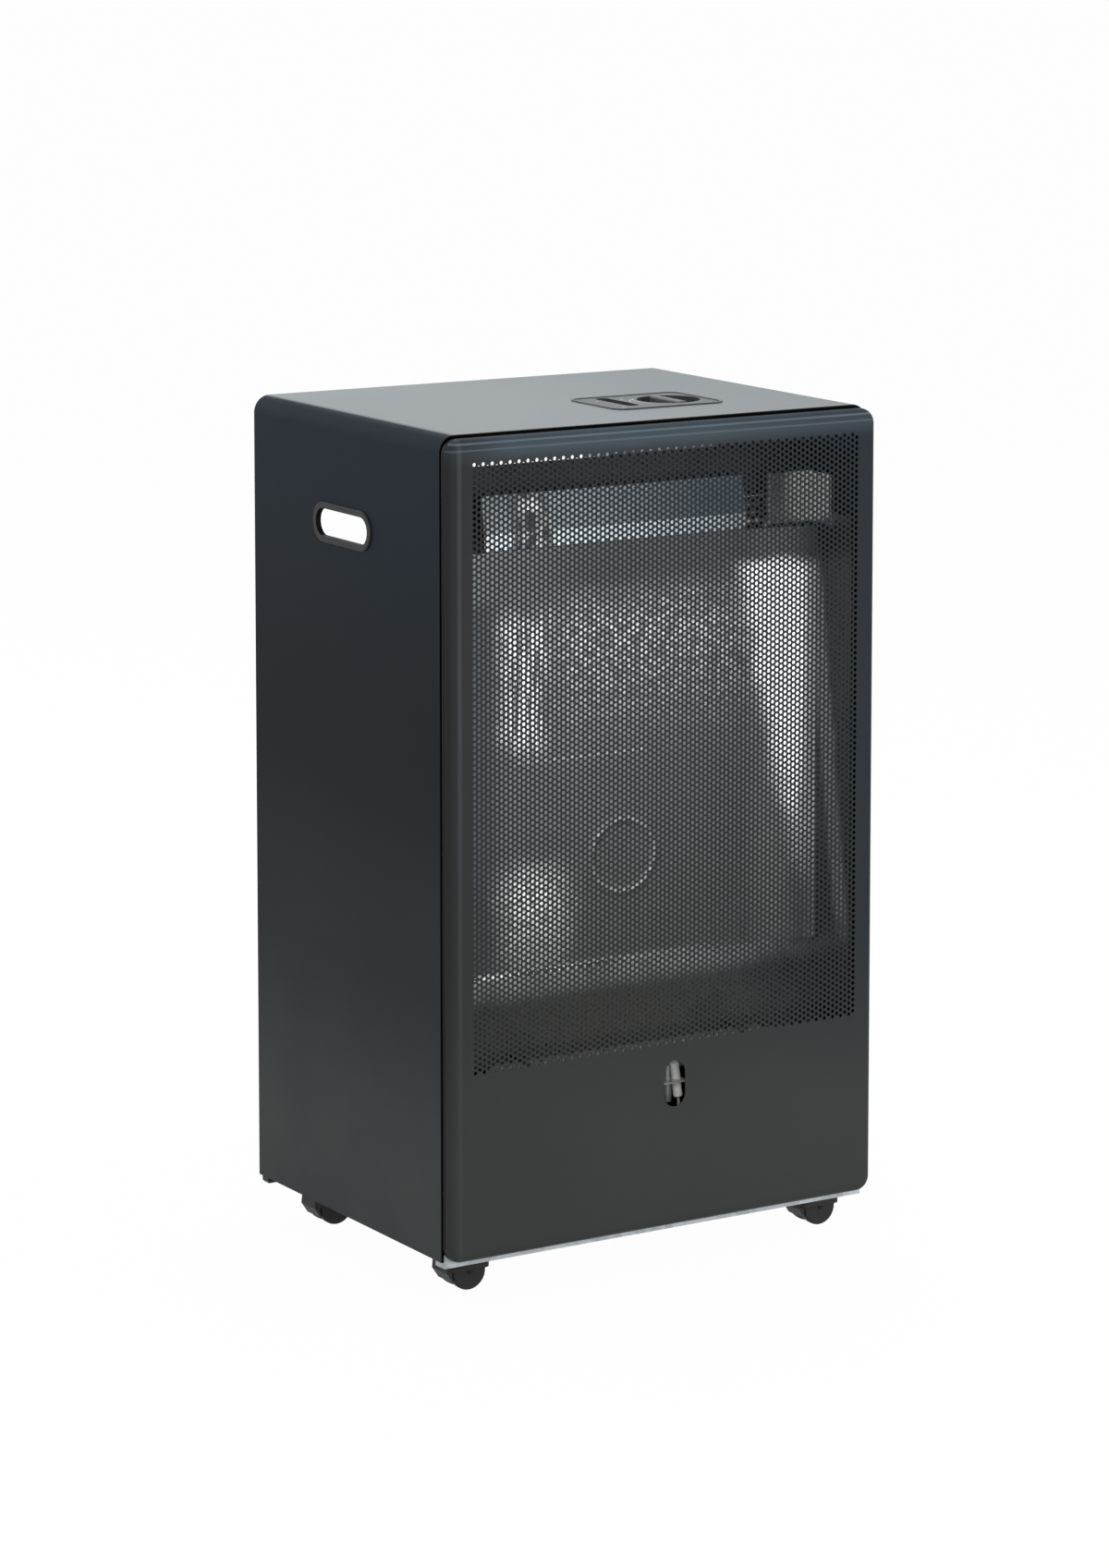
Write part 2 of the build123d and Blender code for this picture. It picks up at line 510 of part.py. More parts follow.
def obround_x(y, z, length, height, x0, x1):
    """A slot-shaped prism lying along X, long in Y."""
    outline = Plane.YZ * SlotOverall(length, height)
    return Pos(x0, y, z) * extrude(outline, x1 - x0)


def prism_y(points, y0, y1):
    """A prism along Y on a closed outline of x, z points."""
    outline = Plane.XZ * make_face(Polyline(*points, close=True))
    return Pos(0, y1, 0) * extrude(outline, y1 - y0)


def bent_sheet(points, thickness, x0, x1):
    """A folded sheet along X whose section follows y, z points, the sheet on its left side."""
    line = Polyline(*points)
    section = Plane.YZ * make_face(trace_outline(line, thickness))
    return Pos(x0, 0, 0) * extrude(section, x1 - x0)


def trace_outline(line, thickness):
    """Closed outline round an open line and its copy one thickness to the left."""
    other = offset_2d_line(line, thickness)
    start = Line(line @ 0, other @ 0)
    end = Line(line @ 1, other @ 1)
    return [line, end, other, start]


def offset_2d_line(line, thickness):
    """The open line moved sideways by the thickness, with its corners mitred."""
    points = [edge @ 0 for edge in line.edges()] + [line @ 1]
    heads = [(b - a).normalized() for a, b in zip(points, points[1:])]
    moved = []
    for index, point in enumerate(points):
        before = heads[max(index - 1, 0)]
        after = heads[min(index, len(heads) - 1)]
        side_before = Vector(-before.Y, before.X)
        side_after = Vector(-after.Y, after.X)
        middle = side_before + side_after
        moved.append(point + middle * (2 * thickness / middle.dot(middle)))
    return Polyline(*moved)


def pipe(points, radius, bend):
    """A round pipe along straight runs with a tangent arc at each corner."""
    path = FilletPolyline(*points, radius=bend)
    start = Plane(origin=path @ 0, z_dir=path % 0)
    return sweep(start * Circle(radius), path=path)


def save(name, *solids):
    """Write one node: its solid, or its group of separate solids."""
    shape = solids[0] if len(solids) == 1 else Compound(children=list(solids))
    export_step(shape, f"parts/{name}.step")


def both_sides(solid):
    """The solid and its mirror image across the middle of the heater."""
    return [solid, mirror(solid, Plane.YZ)]


# ---- cabinet -------------------------------------------------------------------------------
def arch(half, front, back, bottom, top, radius):
    """A box whose two upper long edges are rounded."""
    body = block(-half, half, front, back, bottom, top)
    edges = body.edges().filter_by(Axis.Y).group_by(Axis.Z)[-1]
    return fillet(edges, radius)


def handle_slot(side, grow, depth_out, depth_in):
    """Slot-shaped prism through one cabinet side, larger than the opening by grow all round."""
    inner = INNER_HALF - depth_in
    outer = HALF_WIDTH + depth_out
    low, high = (inner, outer) if side > 0 else (-outer, -inner)
    return obround_x(HANDLE_Y, HANDLE_Z, HANDLE_LENGTH + 2 * grow, HANDLE_OPENING + 2 * grow, low, high)


def control_box(shrink, z0, z1, radius):
    """Rounded box on the controls' outline, smaller than the rim by shrink all round."""
    half_x = CONTROL_LENGTH / 2 - shrink
    half_y = CONTROL_WIDTH / 2 - shrink
    body = block(CONTROL_X - half_x, CONTROL_X + half_x, CONTROL_Y - half_y, CONTROL_Y + half_y, z0, z1)
    return rounded(body, Axis.Z, radius)


def screw_places():
    """x, z of the panel's six screws."""
    return [(side * SPACER_X, z) for side in (-1, 1) for z in SPACER_HEIGHTS]


def cabinet_shell():
    shell = arch(HALF_WIDTH, CABINET_FRONT, CABINET_BACK, CABINET_BOTTOM, CABINET_TOP, CABINET_BEND)
    shell -= arch(INNER_HALF, CABINET_FRONT + SHEET, CABINET_BACK - SHEET, CABINET_BOTTOM - CUT,
                  ROOF_UNDER, CABINET_BEND - SHEET)
    mouth = HALF_WIDTH - CABINET_LIP
    shell -= arch(mouth, CABINET_FRONT - CUT, CABINET_BACK + CUT, CABINET_BOTTOM - CUT,
                  CABINET_TOP - CABINET_LIP, CABINET_BEND / 3)
    for side in (-1, 1):
        shell -= handle_slot(side, HANDLE_SLEEVE + HANDLE_FIT, CUT, CUT)
    shell -= control_box(CONTROL_RIM_WIDTH - CONTROL_FIT, ROOF_UNDER - CUT, CABINET_TOP + CUT,
                         CONTROL_CORNER - CONTROL_RIM_WIDTH + CONTROL_FIT)
    for x, z in screw_places():
        shell -= rod_y(x, z, CABINET_FRONT - CUT, CABINET_FRONT + SHEET + CUT, SCREW_DIAMETER / 2)
    return shell


def handle_rim(side):
    flange = handle_slot(side, HANDLE_RIM, HANDLE_RIM_THICK, 0)
    flange -= handle_slot(side, HANDLE_RIM + CUT, 0, CUT)
    outer_face = flange.faces().sort_by(Axis.X)[-1 if side > 0 else 0]
    flange = fillet(outer_face.outer_wire().edges(), HANDLE_RIM_THICK * 0.6)
    sleeve = handle_slot(side, HANDLE_SLEEVE, HANDLE_RIM_THICK / 2, HANDLE_DEPTH - SHEET)
    rim = flange + sleeve
    return rim - handle_slot(side, 0, HANDLE_RIM_THICK + CUT, HANDLE_DEPTH + CUT)


# ---- front panel ---------------------------------------------------------------------------
def pan(half, front, back, bottom, top, corner, edge, sheet, lip, face_forward):
    """A pressed sheet pan with a rounded face and a lip round its open side."""
    def skin(inset, near, far, corner_radius, edge_radius):
        body = block(-half + inset, half - inset, near, far, bottom + inset, top - inset)
        body = rounded(body, Axis.Y, corner_radius)
        if edge_radius > 0:
            face = body.faces().sort_by(Axis.Y)[0 if face_forward else -1]
            body = fillet(face.outer_wire().edges(), edge_radius)
        return body

    solid = skin(0, front, back, corner, edge)
    solid -= skin(sheet, front + sheet, back - sheet, corner - sheet, edge - sheet)
    if face_forward:
        return solid - skin(lip, back - 2 * sheet, back + CUT, corner / 2, 0)
    return solid - skin(lip, front - CUT, front + 2 * sheet, corner / 2, 0)


def grille_places():
    """x, z of the staggered round holes, centred in the grille field."""
    column_step = HOLE_PITCH * cos(radians(30))
    columns = int((GRILLE_WIDTH - HOLE_DIAMETER) / column_step) + 1
    rows = int((GRILLE_HEIGHT - HOLE_DIAMETER - HOLE_PITCH / 2) / HOLE_PITCH) + 1
    middle_z = GRILLE_BOTTOM + GRILLE_HEIGHT / 2
    first_x = GRILLE_SHIFT - (columns - 1) * column_step / 2
    first_z = middle_z - ((rows - 1) * HOLE_PITCH + HOLE_PITCH / 2) / 2
    return [(first_x + column * column_step, first_z + row * HOLE_PITCH + (column % 2) * HOLE_PITCH / 2)
            for column in range(columns) for row in range(rows)]


def front_panel():
    panel = pan(PANEL_HALF, PANEL_FACE, PANEL_BACK, PANEL_BOTTOM, PANEL_TOP,
                PANEL_CORNER, PANEL_EDGE, SHEET, PANEL_LIP, True)
    punch = Sketch() + [Pos(x, z) * Circle(HOLE_DIAMETER / 2) for x, z in grille_places()]
    slot = Pos(SIGHT_X, SIGHT_Z) * Rot(0, 0, 90) * SlotOverall(SIGHT_HEIGHT, SIGHT_WIDTH)
    cutter = extrude(Plane.XZ * (punch + slot), SHEET + 2 * CUT)
    panel -= Pos(0, PANEL_FACE + SHEET + CUT, 0) * cutter
    for x, z in screw_places():
        panel -= rod_y(x, z, PANEL_BACK - SHEET - CUT, PANEL_BACK + CUT, SCREW_DIAMETER / 2)
    return panel


def panel_spacers():
    return [rod_y(x, z, PANEL_BACK, CABINET_FRONT, SPACER_DIAMETER / 2)
            - rod_y(x, z, PANEL_BACK - CUT, CABINET_FRONT + CUT, SCREW_DIAMETER / 2)
            for x, z in screw_places()]


def panel_screws():
    inside = CABINET_FRONT + SHEET
    return [rod_y(x, z, PANEL_BACK - SCREW_BITE, inside, SCREW_DIAMETER / 2)
            + rod_y(x, z, inside, inside + SCREW_HEAD_HEIGHT, SCREW_HEAD_DIAMETER / 2)
            for x, z in screw_places()]


# ---- base tray and feet --------------------------------------------------------------------
def caster_places():
    return {"front_left": (-CASTER_X, CASTER_FRONT_Y), "front_right": (CASTER_X, CASTER_FRONT_Y),
            "rear_left": (-CASTER_X, CASTER_REAR_Y), "rear_right": (CASTER_X, CASTER_REAR_Y)}


def base_tray():
    lip_inner = HALF_WIDTH - CABINET_LIP
    tray = block(-INNER_HALF, INNER_HALF, CABINET_FRONT + SHEET, TRAY_BACK, CABINET_BOTTOM, TRAY_TOP)
    tray -= block(-INNER_HALF + SHEET, INNER_HALF - SHEET, CABINET_FRONT, TRAY_BACK - SHEET,
                  CABINET_BOTTOM - CUT, TRAY_UNDER)
    tray += block(-lip_inner, lip_inner, TRAY_FRONT, CABINET_FRONT + 2 * SHEET, TRAY_UNDER, TRAY_TOP)
    flange = block(-TRAY_FLANGE_HALF, TRAY_FLANGE_HALF, TRAY_FRONT, TRAY_FRONT + SHEET,
                   TRAY_FLANGE_BOTTOM, TRAY_FLANGE_TOP)
    flange = chamfer(flange.edges().filter_by(Axis.Y).group_by(Axis.Z)[-1], TRAY_FLANGE_CHAMFER)
    tray += flange
    for side in (-1, 1):
        outer = side * TRAY_FLANGE_HALF
        inner = side * (TRAY_FLANGE_HALF - SHEET)
        tab_top = CABINET_BOTTOM - TRAY_TAB_GAP
        tray += block(min(inner, outer), max(inner, outer), TRAY_FRONT, TRAY_FRONT + TRAY_TAB_LENGTH,
                      TRAY_FLANGE_BOTTOM, tab_top)
    for x, y in caster_places().values():
        tray -= rod_z(x, y, TRAY_UNDER - CUT, TRAY_TOP + CUT, SOCKET_RADIUS)
    return tray


def rear_feet():
    outer = INNER_HALF - SHEET
    back = TRAY_BACK - SHEET
    foot = block(outer - FOOT_WIDTH, outer, back - FOOT_LENGTH, back, FOOT_BOTTOM, TRAY_UNDER)
    foot = fillet(foot.edges().group_by(Axis.Z)[0], FOOT_EDGE)
    return both_sides(foot)


# ---- casters -------------------------------------------------------------------------------
def caster_socket(x, y):
    socket = rod_z(x, y, SOCKET_BOTTOM, TRAY_UNDER, SOCKET_FLANGE_RADIUS)
    socket += rod_z(x, y, TRAY_UNDER, SOCKET_TOP, SOCKET_RADIUS)
    return socket - rod_z(x, y, SOCKET_BOTTOM - CUT, STEM_TOP + STEM_END_GAP, STEM_RADIUS + STEM_RUNNING)


def hood_outline(inset, z0, z1):
    body = block(HOOD_CENTRE - HOOD_LENGTH / 2 + inset, HOOD_CENTRE + HOOD_LENGTH / 2 - inset,
                 -HOOD_WIDTH / 2 + inset, HOOD_WIDTH / 2 - inset, z0, z1)
    return rounded(body, Axis.Z, HOOD_CORNER - inset)


def caster_hood(x, y):
    """Hood with its middle web and its sloping nose; it trails towards +X."""
    hood = hood_outline(0, HOOD_SKIRT_BOTTOM, HOOD_TOP)
    hood = fillet(hood.edges().group_by(Axis.Z)[-1], HOOD_ROOF / 2)
    hood -= hood_outline(HOOD_WALL, HOOD_SKIRT_BOTTOM - CUT, HOOD_TOP - HOOD_ROOF)
    nose_x = HOOD_CENTRE - HOOD_LENGTH / 2
    roof = HOOD_TOP - HOOD_ROOF / 2
    slope_x = CASTER_TRAIL - WHEEL_RADIUS
    slope_z = AXLE_Z / 2
    nose = prism_y([(nose_x, HOOD_SKIRT_BOTTOM), (nose_x, HOOD_NOSE_BOTTOM), (slope_x, slope_z),
                    (slope_x, roof), (nose_x + HOOD_WALL, roof)], -WHEEL_OUTER, WHEEL_OUTER)
    nose -= rod_y(CASTER_TRAIL, AXLE_Z, -HOOD_WIDTH, HOOD_WIDTH, WHEEL_RADIUS + HOOD_WHEEL_GAP)
    web = prism_y([(nose_x + HOOD_WALL, roof), (nose_x + HOOD_WALL, HOOD_NOSE_BOTTOM),
                   (slope_x, slope_z), (CASTER_TRAIL, AXLE_Z / 2),
                   (CASTER_TRAIL + 0.75 * WHEEL_RADIUS, 1.25 * AXLE_Z),
                   (CASTER_TRAIL + 0.875 * WHEEL_RADIUS, roof)], -HOOD_WEB / 2, HOOD_WEB / 2)
    hood += nose
    hood += web
    hood -= rod_y(CASTER_TRAIL, AXLE_Z, -HOOD_WEB, HOOD_WEB, AXLE_RADIUS)
    hood -= rod_z(0, 0, STEM_BOTTOM, HOOD_TOP + CUT, STEM_RADIUS)
    return Pos(x, y, 0) * hood


def caster_pins(x, y):
    """The steel stem and the wheel axle of one caster."""
    stem = rod_z(x, y, STEM_BOTTOM, STEM_TOP, STEM_RADIUS)
    reach = WHEEL_OUTER + AXLE_HEAD
    axle = rod_y(x + CASTER_TRAIL, AXLE_Z, y - reach, y + reach, AXLE_RADIUS)
    return [stem, axle]


def caster_wheels(x, y):
    """The two wheels that roll together on one axle."""
    wheel = rod_y(0, 0, WHEEL_INNER, WHEEL_OUTER, WHEEL_RADIUS)
    wheel = fillet(wheel.edges().filter_by(GeomType.CIRCLE), WHEEL_EDGE)
    wheel -= rod_y(0, 0, 0, WHEEL_OUTER + CUT, AXLE_RADIUS + AXLE_RUNNING)
    pair = [wheel, mirror(wheel, Plane.XZ)]
    return [Pos(x + CASTER_TRAIL, y, AXLE_Z) * one for one in pair]


# ---- rear cover, hinges, catch -------------------------------------------------------------
def louvres():
    slots = []
    for share in LOUVRE_BANKS:
        for column in range(LOUVRE_COLUMNS):
            for row in range(LOUVRE_ROWS):
                x = (column - (LOUVRE_COLUMNS - 1) / 2) * LOUVRE_PITCH_X
                z = COVER_BOTTOM + share * COVER_HEIGHT + (row - (LOUVRE_ROWS - 1) / 2) * LOUVRE_PITCH_Z
                slots.append(Pos(x, z) * SlotOverall(LOUVRE_LENGTH, LOUVRE_HEIGHT))
    return Sketch() + slots


def knuckle(height, length, bore):
    return rod_z(HINGE_X, HINGE_Y, height - length / 2, height + length / 2, HINGE_BARREL_RADIUS), \
        rod_z(HINGE_X, HINGE_Y, height - length, height + length, bore)


def rear_cover():
    cover = pan(COVER_HALF, COVER_FRONT, COVER_BACK, COVER_BOTTOM, COVER_TOP,
                COVER_CORNER, COVER_EDGE, SHEET, COVER_LIP, False)
    cover -= Pos(0, COVER_BACK + CUT, 0) * extrude(Plane.XZ * louvres(), SHEET + 2 * CUT)
    for height in HINGE_HEIGHTS:
        barrel, bore = knuckle(height, HINGE_KNUCKLE, HINGE_PIN_RADIUS + HINGE_RUNNING)
        arm = block(HINGE_X, -COVER_HALF + SHEET / 2, HINGE_Y - SHEET, HINGE_Y + SHEET,
                    height - HINGE_KNUCKLE / 2, height + HINGE_KNUCKLE / 2)
        cover += barrel + arm
        cover -= bore
    return cover


def hinge_bracket(height):
    """A leaf on the cabinet's back lip with two fixed knuckles."""
    gap = HINGE_KNUCKLE / 2 + HINGE_END_PLAY
    end = gap + HINGE_FIXED
    left = -HALF_WIDTH + HINGE_LEAF_INSET
    right = HINGE_X + HINGE_BARREL_RADIUS
    bracket = block(left, right, CABINET_BACK, CABINET_BACK + HINGE_LEAF, height - end, height + end)
    for low, high in ((height - end, height - gap), (height + gap, height + end)):
        bracket += rod_z(HINGE_X, HINGE_Y, low, high, HINGE_BARREL_RADIUS)
        bracket += block(HINGE_X - HINGE_BARREL_RADIUS, HINGE_X, CABINET_BACK, HINGE_Y, low, high)
    return bracket - rod_z(HINGE_X, HINGE_Y, height - 2 * end, height + 2 * end, HINGE_PIN_RADIUS)


def hinge_pin(height):
    reach = HINGE_KNUCKLE / 2 + HINGE_END_PLAY + HINGE_FIXED + HINGE_PIN_END
    return rod_z(HINGE_X, HINGE_Y, height - reach, height + reach, HINGE_PIN_RADIUS)


def rear_catch():
    """Magnet block beside the back lip that holds the closed cover."""
    edge = min(HALF_WIDTH - CABINET_LIP, COVER_HALF - COVER_EDGE)
    low, high = CATCH_Z - CATCH_HEIGHT / 2, CATCH_Z + CATCH_HEIGHT / 2
    catch = block(edge - CATCH_WIDTH, edge, CABINET_BACK - CATCH_DEPTH, COVER_BACK - SHEET - CATCH_GAP,
                  low, high)
    return catch + block(edge - CUT, INNER_HALF, CABINET_BACK - SHEET - CATCH_PLATE, CABINET_BACK - SHEET,
                         low, high)


# ---- controls ------------------------------------------------------------------------------
def igniter_well(grow, z0, z1):
    """Upright slot on the button's outline, larger by grow all round."""
    return obround_z(IGNITER_X, IGNITER_Y, BUTTON_LENGTH + 2 * grow, BUTTON_WIDTH + 2 * grow, z0, z1)


def control_panel():
    """Rimmed plate let into the top, with a round well for the knob and a guide for the button."""
    panel = control_box(0, CABINET_TOP, CABINET_TOP + CONTROL_RIM, CONTROL_CORNER)
    top = panel.faces().sort_by(Axis.Z)[-1]
    panel = fillet(top.outer_wire().edges(), CONTROL_RIM / 2)
    inner = CONTROL_RIM_WIDTH + CONTROL_WALL
    skirt_bottom = CONTROL_FACE_Z - CONTROL_SKIRT
    panel += control_box(CONTROL_RIM_WIDTH, skirt_bottom, CABINET_TOP, CONTROL_CORNER - CONTROL_RIM_WIDTH)
    panel -= control_box(CONTROL_RIM_WIDTH, CONTROL_FACE_Z, CABINET_TOP + CONTROL_RIM + CUT,
                         CONTROL_CORNER - CONTROL_RIM_WIDTH)
    panel -= control_box(inner, skirt_bottom - CUT, CONTROL_FACE_Z - CONTROL_WALL, CONTROL_CORNER - inner)
    well_radius = KNOB_RADIUS + KNOB_WELL_GAP
    panel += rod_z(KNOB_X, KNOB_Y, CONTROL_UNDER, CONTROL_FACE_Z, well_radius + CONTROL_WALL)
    panel += igniter_well(BUTTON_FIT + WELL_WALL, CONTROL_UNDER, CONTROL_FACE_Z)
    panel -= rod_z(KNOB_X, KNOB_Y, CONTROL_FLOOR, CONTROL_FACE_Z + CUT, well_radius)
    panel -= igniter_well(BUTTON_FIT, CONTROL_UNDER - CUT, CONTROL_FACE_Z + CUT)
    panel -= rod_z(KNOB_X, KNOB_Y, CONTROL_UNDER - CUT, CONTROL_FLOOR + CUT,
                   VALVE_STEM_RADIUS + STEM_HOLE_GAP)
    for side in (-1, 1):
        wall = CONTROL_Y + side * (CONTROL_WIDTH / 2 - CONTROL_RIM_WIDTH)
        for x in (CONTROL_X - CONTROL_LENGTH / 4, CONTROL_X + CONTROL_LENGTH / 4):
            tip = wall + side * CONTROL_CLIP_REACH
            panel += block(x - CONTROL_CLIP_WIDTH / 2, x + CONTROL_CLIP_WIDTH / 2, min(wall, tip),
                           max(wall, tip), ROOF_UNDER - CONTROL_CLIP_HEIGHT, ROOF_UNDER)
    return panel


def valve_stem():
    stem = rod_z(KNOB_X, KNOB_Y, VALVE_STEM_BOTTOM, KNOB_BOTTOM + KNOB_DISC, VALVE_STEM_RADIUS)
    flat = VALVE_STEM_RADIUS * 0.6
    return stem - block(KNOB_X + flat, KNOB_X + 2 * VALVE_STEM_RADIUS, KNOB_Y - VALVE_STEM_RADIUS,
                        KNOB_Y + VALVE_STEM_RADIUS, KNOB_BOTTOM, KNOB_TOP)


def control_knob():
    knob = rod_z(KNOB_X, KNOB_Y, KNOB_BOTTOM, KNOB_BOTTOM + KNOB_DISC, KNOB_RADIUS)
    knob = fillet(knob.edges().group_by(Axis.Z)[-1], KNOB_DISC * 0.4)
    reach = sqrt((KNOB_RADIUS - KNOB_GRIP_INSET) ** 2 - (KNOB_GRIP_WIDTH / 2) ** 2)
    grip = block(KNOB_X - KNOB_GRIP_WIDTH / 2, KNOB_X + KNOB_GRIP_WIDTH / 2, KNOB_Y - reach,
                 KNOB_Y + reach, KNOB_BOTTOM, KNOB_TOP)
    grip = fillet(grip.edges().group_by(Axis.Z)[-1], KNOB_GRIP_WIDTH * 0.2)
    return knob + grip - valve_stem()


def knob_collar():
    return rod_z(KNOB_X, KNOB_Y, COLLAR_BOTTOM, COLLAR_TOP, COLLAR_RADIUS) \
        - rod_z(KNOB_X, KNOB_Y, COLLAR_BOTTOM - CUT, COLLAR_TOP + CUT, VALVE_STEM_RADIUS + VALVE_STEM_RUNNING)


def igniter_button():
    button = obround_z(IGNITER_X, IGNITER_Y, BUTTON_LENGTH, BUTTON_WIDTH, BUTTON_BOTTOM, BUTTON_TOP)
    button = fillet(button.edges().group_by(Axis.Z)[-1], BUTTON_EDGE)
    return button + rod_z(IGNITER_X, IGNITER_Y, BUTTON_STEM_BOTTOM, BUTTON_BOTTOM, BUTTON_STEM_RADIUS)


def igniter_body():
    body = rod_z(IGNITER_X, IGNITER_Y, IGNITER_BOTTOM, IGNITER_TOP, IGNITER_RADIUS)
    body += rod_z(IGNITER_X, IGNITER_Y, BRACKET_FLOOR, BRACKET_FLOOR + IGNITER_FLANGE,
                  IGNITER_FLANGE_RADIUS)
    bore_bottom = BUTTON_STEM_BOTTOM - BUTTON_PRESS - BUTTON_STEM_END
    return body - rod_z(IGNITER_X, IGNITER_Y, bore_bottom, IGNITER_TOP + CUT,
                        BUTTON_STEM_RADIUS + BUTTON_STEM_RUNNING)


# ---- valve, bracket, inlet -----------------------------------------------------------------
def valve_bracket():
    """Folded cradle that hangs under the top and carries the valve and the igniter."""
    left, right = BRACKET_LEFT, BRACKET_RIGHT
    cradle = block(left, right, BRACKET_FRONT_Y, BRACKET_BACK_Y, BRACKET_UNDER, BRACKET_FLOOR)
    cradle += block(left, right, BRACKET_FRONT_Y - BRACKET_SHEET, BRACKET_FRONT_Y,
                    BRACKET_UNDER, BRACKET_FLOOR + BRACKET_LIP)
    for low, ear_low, ear_high in ((left, left - BRACKET_EAR, left),
                                   (right - BRACKET_SHEET, right, right + BRACKET_EAR)):
        cradle += block(low, low + BRACKET_SHEET, BRACKET_FRONT_Y, BRACKET_LEG_BACK_Y,
                        BRACKET_UNDER, ROOF_UNDER)
        cradle += block(ear_low, ear_high, BRACKET_FRONT_Y, BRACKET_LEG_BACK_Y,
                        ROOF_UNDER - BRACKET_SHEET, ROOF_UNDER)
    for x in PORT_XS.values():
        cradle -= rod_z(x, KNOB_Y, BRACKET_UNDER - CUT, BRACKET_FLOOR + CUT, PORT_RADIUS)
    return cradle - rod_z(IGNITER_X, IGNITER_Y, BRACKET_UNDER - CUT, BRACKET_FLOOR + CUT, IGNITER_RADIUS)


def gas_valve():
    """Valve block with its neck, its three ports under the bracket and its blind stem bore."""
    valve = block(KNOB_X - VALVE_LENGTH / 2, KNOB_X + VALVE_LENGTH / 2, KNOB_Y - VALVE_WIDTH / 2,
                  KNOB_Y + VALVE_WIDTH / 2, BRACKET_FLOOR, VALVE_TOP)
    valve = rounded(valve, Axis.Z, VALVE_CORNER)
    valve += rod_z(KNOB_X, KNOB_Y, VALVE_TOP, NECK_TOP, VALVE_NECK_RADIUS)
    for x in PORT_XS.values():
        valve += rod_z(x, KNOB_Y, PORT_BOTTOM, BRACKET_FLOOR, PORT_RADIUS)
    return valve - rod_z(KNOB_X, KNOB_Y, VALVE_STEM_BOTTOM - KNOB_PRESS - KNOB_STOP_GAP, NECK_TOP + CUT,
                         VALVE_STEM_RADIUS + VALVE_STEM_RUNNING)


def hose_nozzle():
    """Hexagon and plain hose tail that point back over the bottle bay."""
    start = KNOB_Y + VALVE_WIDTH / 2
    height = BRACKET_FLOOR + VALVE_HEIGHT / 2
    outline = Plane.XZ * RegularPolygon(INLET_HEX / 2, 6, major_radius=False)
    nut = Pos(KNOB_X, start + INLET_LENGTH, height) * extrude(outline, INLET_LENGTH)
    tail_end = start + INLET_LENGTH + NOZZLE_LENGTH
    tail = rod_y(KNOB_X, height, start + INLET_LENGTH, tail_end, NOZZLE_RADIUS)
    bore = rod_y(KNOB_X, height, start + NOZZLE_WEB, tail_end + CUT, NOZZLE_BORE / 2)
    return nut + tail - bore


# ---- chamber -------------------------------------------------------------------------------
def bulkhead():
    wall = block(-INNER_HALF, INNER_HALF, BULKHEAD_Y, BULKHEAD_Y + SHEET, TRAY_TOP, BULKHEAD_TOP)
    back = BULKHEAD_Y + BULKHEAD_FLANGE
    for low, high in ((-INNER_HALF, -INNER_HALF + SHEET), (INNER_HALF - SHEET, INNER_HALF)):
        wall += block(low, high, BULKHEAD_Y, back, TRAY_TOP, BULKHEAD_TOP)
    wall += block(-INNER_HALF, INNER_HALF, BULKHEAD_Y, back, TRAY_TOP, TRAY_TOP + SHEET)
    wall += block(-INNER_HALF, INNER_HALF, BULKHEAD_Y - BULKHEAD_TOP_LIP, BULKHEAD_Y,
                  BULKHEAD_TOP - SHEET, BULKHEAD_TOP)
    levels = [PIPE_LEVELS[name] for name in PORT_XS]
    wall -= block(min(PORT_XS.values()) - WINDOW_MARGIN, max(PORT_XS.values()) + WINDOW_MARGIN,
                  BULKHEAD_Y - CUT, BULKHEAD_Y + SHEET + CUT,
                  min(levels) - WINDOW_MARGIN, max(levels) + WINDOW_MARGIN)
    return wall - rod_y(IGNITER_X, PIPE_LEVELS["ignition"], BULKHEAD_Y - CUT, BULKHEAD_Y + SHEET + CUT,
                        LEAD_HOLE_RADIUS)


def reflector_back():
    plate = block(-CHAMBER_HALF, CHAMBER_HALF, REFLECTOR_Y, REFLECTOR_Y + SHEET,
                  REFLECTOR_BOTTOM, REFLECTOR_TOP)
    ring = rod_y(EMBOSS_X, EMBOSS_Z, REFLECTOR_Y - EMBOSS_HEIGHT, REFLECTOR_Y + SHEET, EMBOSS_RADIUS)
    ring -= rod_y(EMBOSS_X, EMBOSS_Z, REFLECTOR_Y - EMBOSS_HEIGHT - CUT, REFLECTOR_Y + SHEET + CUT,
                  EMBOSS_RADIUS - EMBOSS_WIDTH)
    return plate + ring


def reflector_side():
    """Right side reflector: its top steps down towards the front."""
    low, high = CHAMBER_HALF, CHAMBER_HALF + SHEET
    side = block(low, high, CHAMBER_FRONT_Y, BULKHEAD_Y, SIDE_BOTTOM, SIDE_TOP)
    side -= block(low - CUT, high + CUT, CHAMBER_FRONT_Y - CUT, SIDE_STEP_Y, SIDE_STEP_TOP, SIDE_TOP + CUT)
    side += block(low, INNER_HALF, CHAMBER_FRONT_Y, CHAMBER_FRONT_Y + SHEET, SIDE_BOTTOM, SIDE_STEP_TOP)
    return side


def top_deflector():
    return bent_sheet([(DEFLECTOR_FRONT_Y, DEFLECTOR_BOTTOM), (DEFLECTOR_FRONT_Y, DEFLECTOR_CREASE),
                       (DEFLECTOR_BACK_Y, DEFLECTOR_TOP), (BULKHEAD_Y, DEFLECTOR_TOP)],
                      -SHEET, -DEFLECTOR_HALF, DEFLECTOR_HALF)


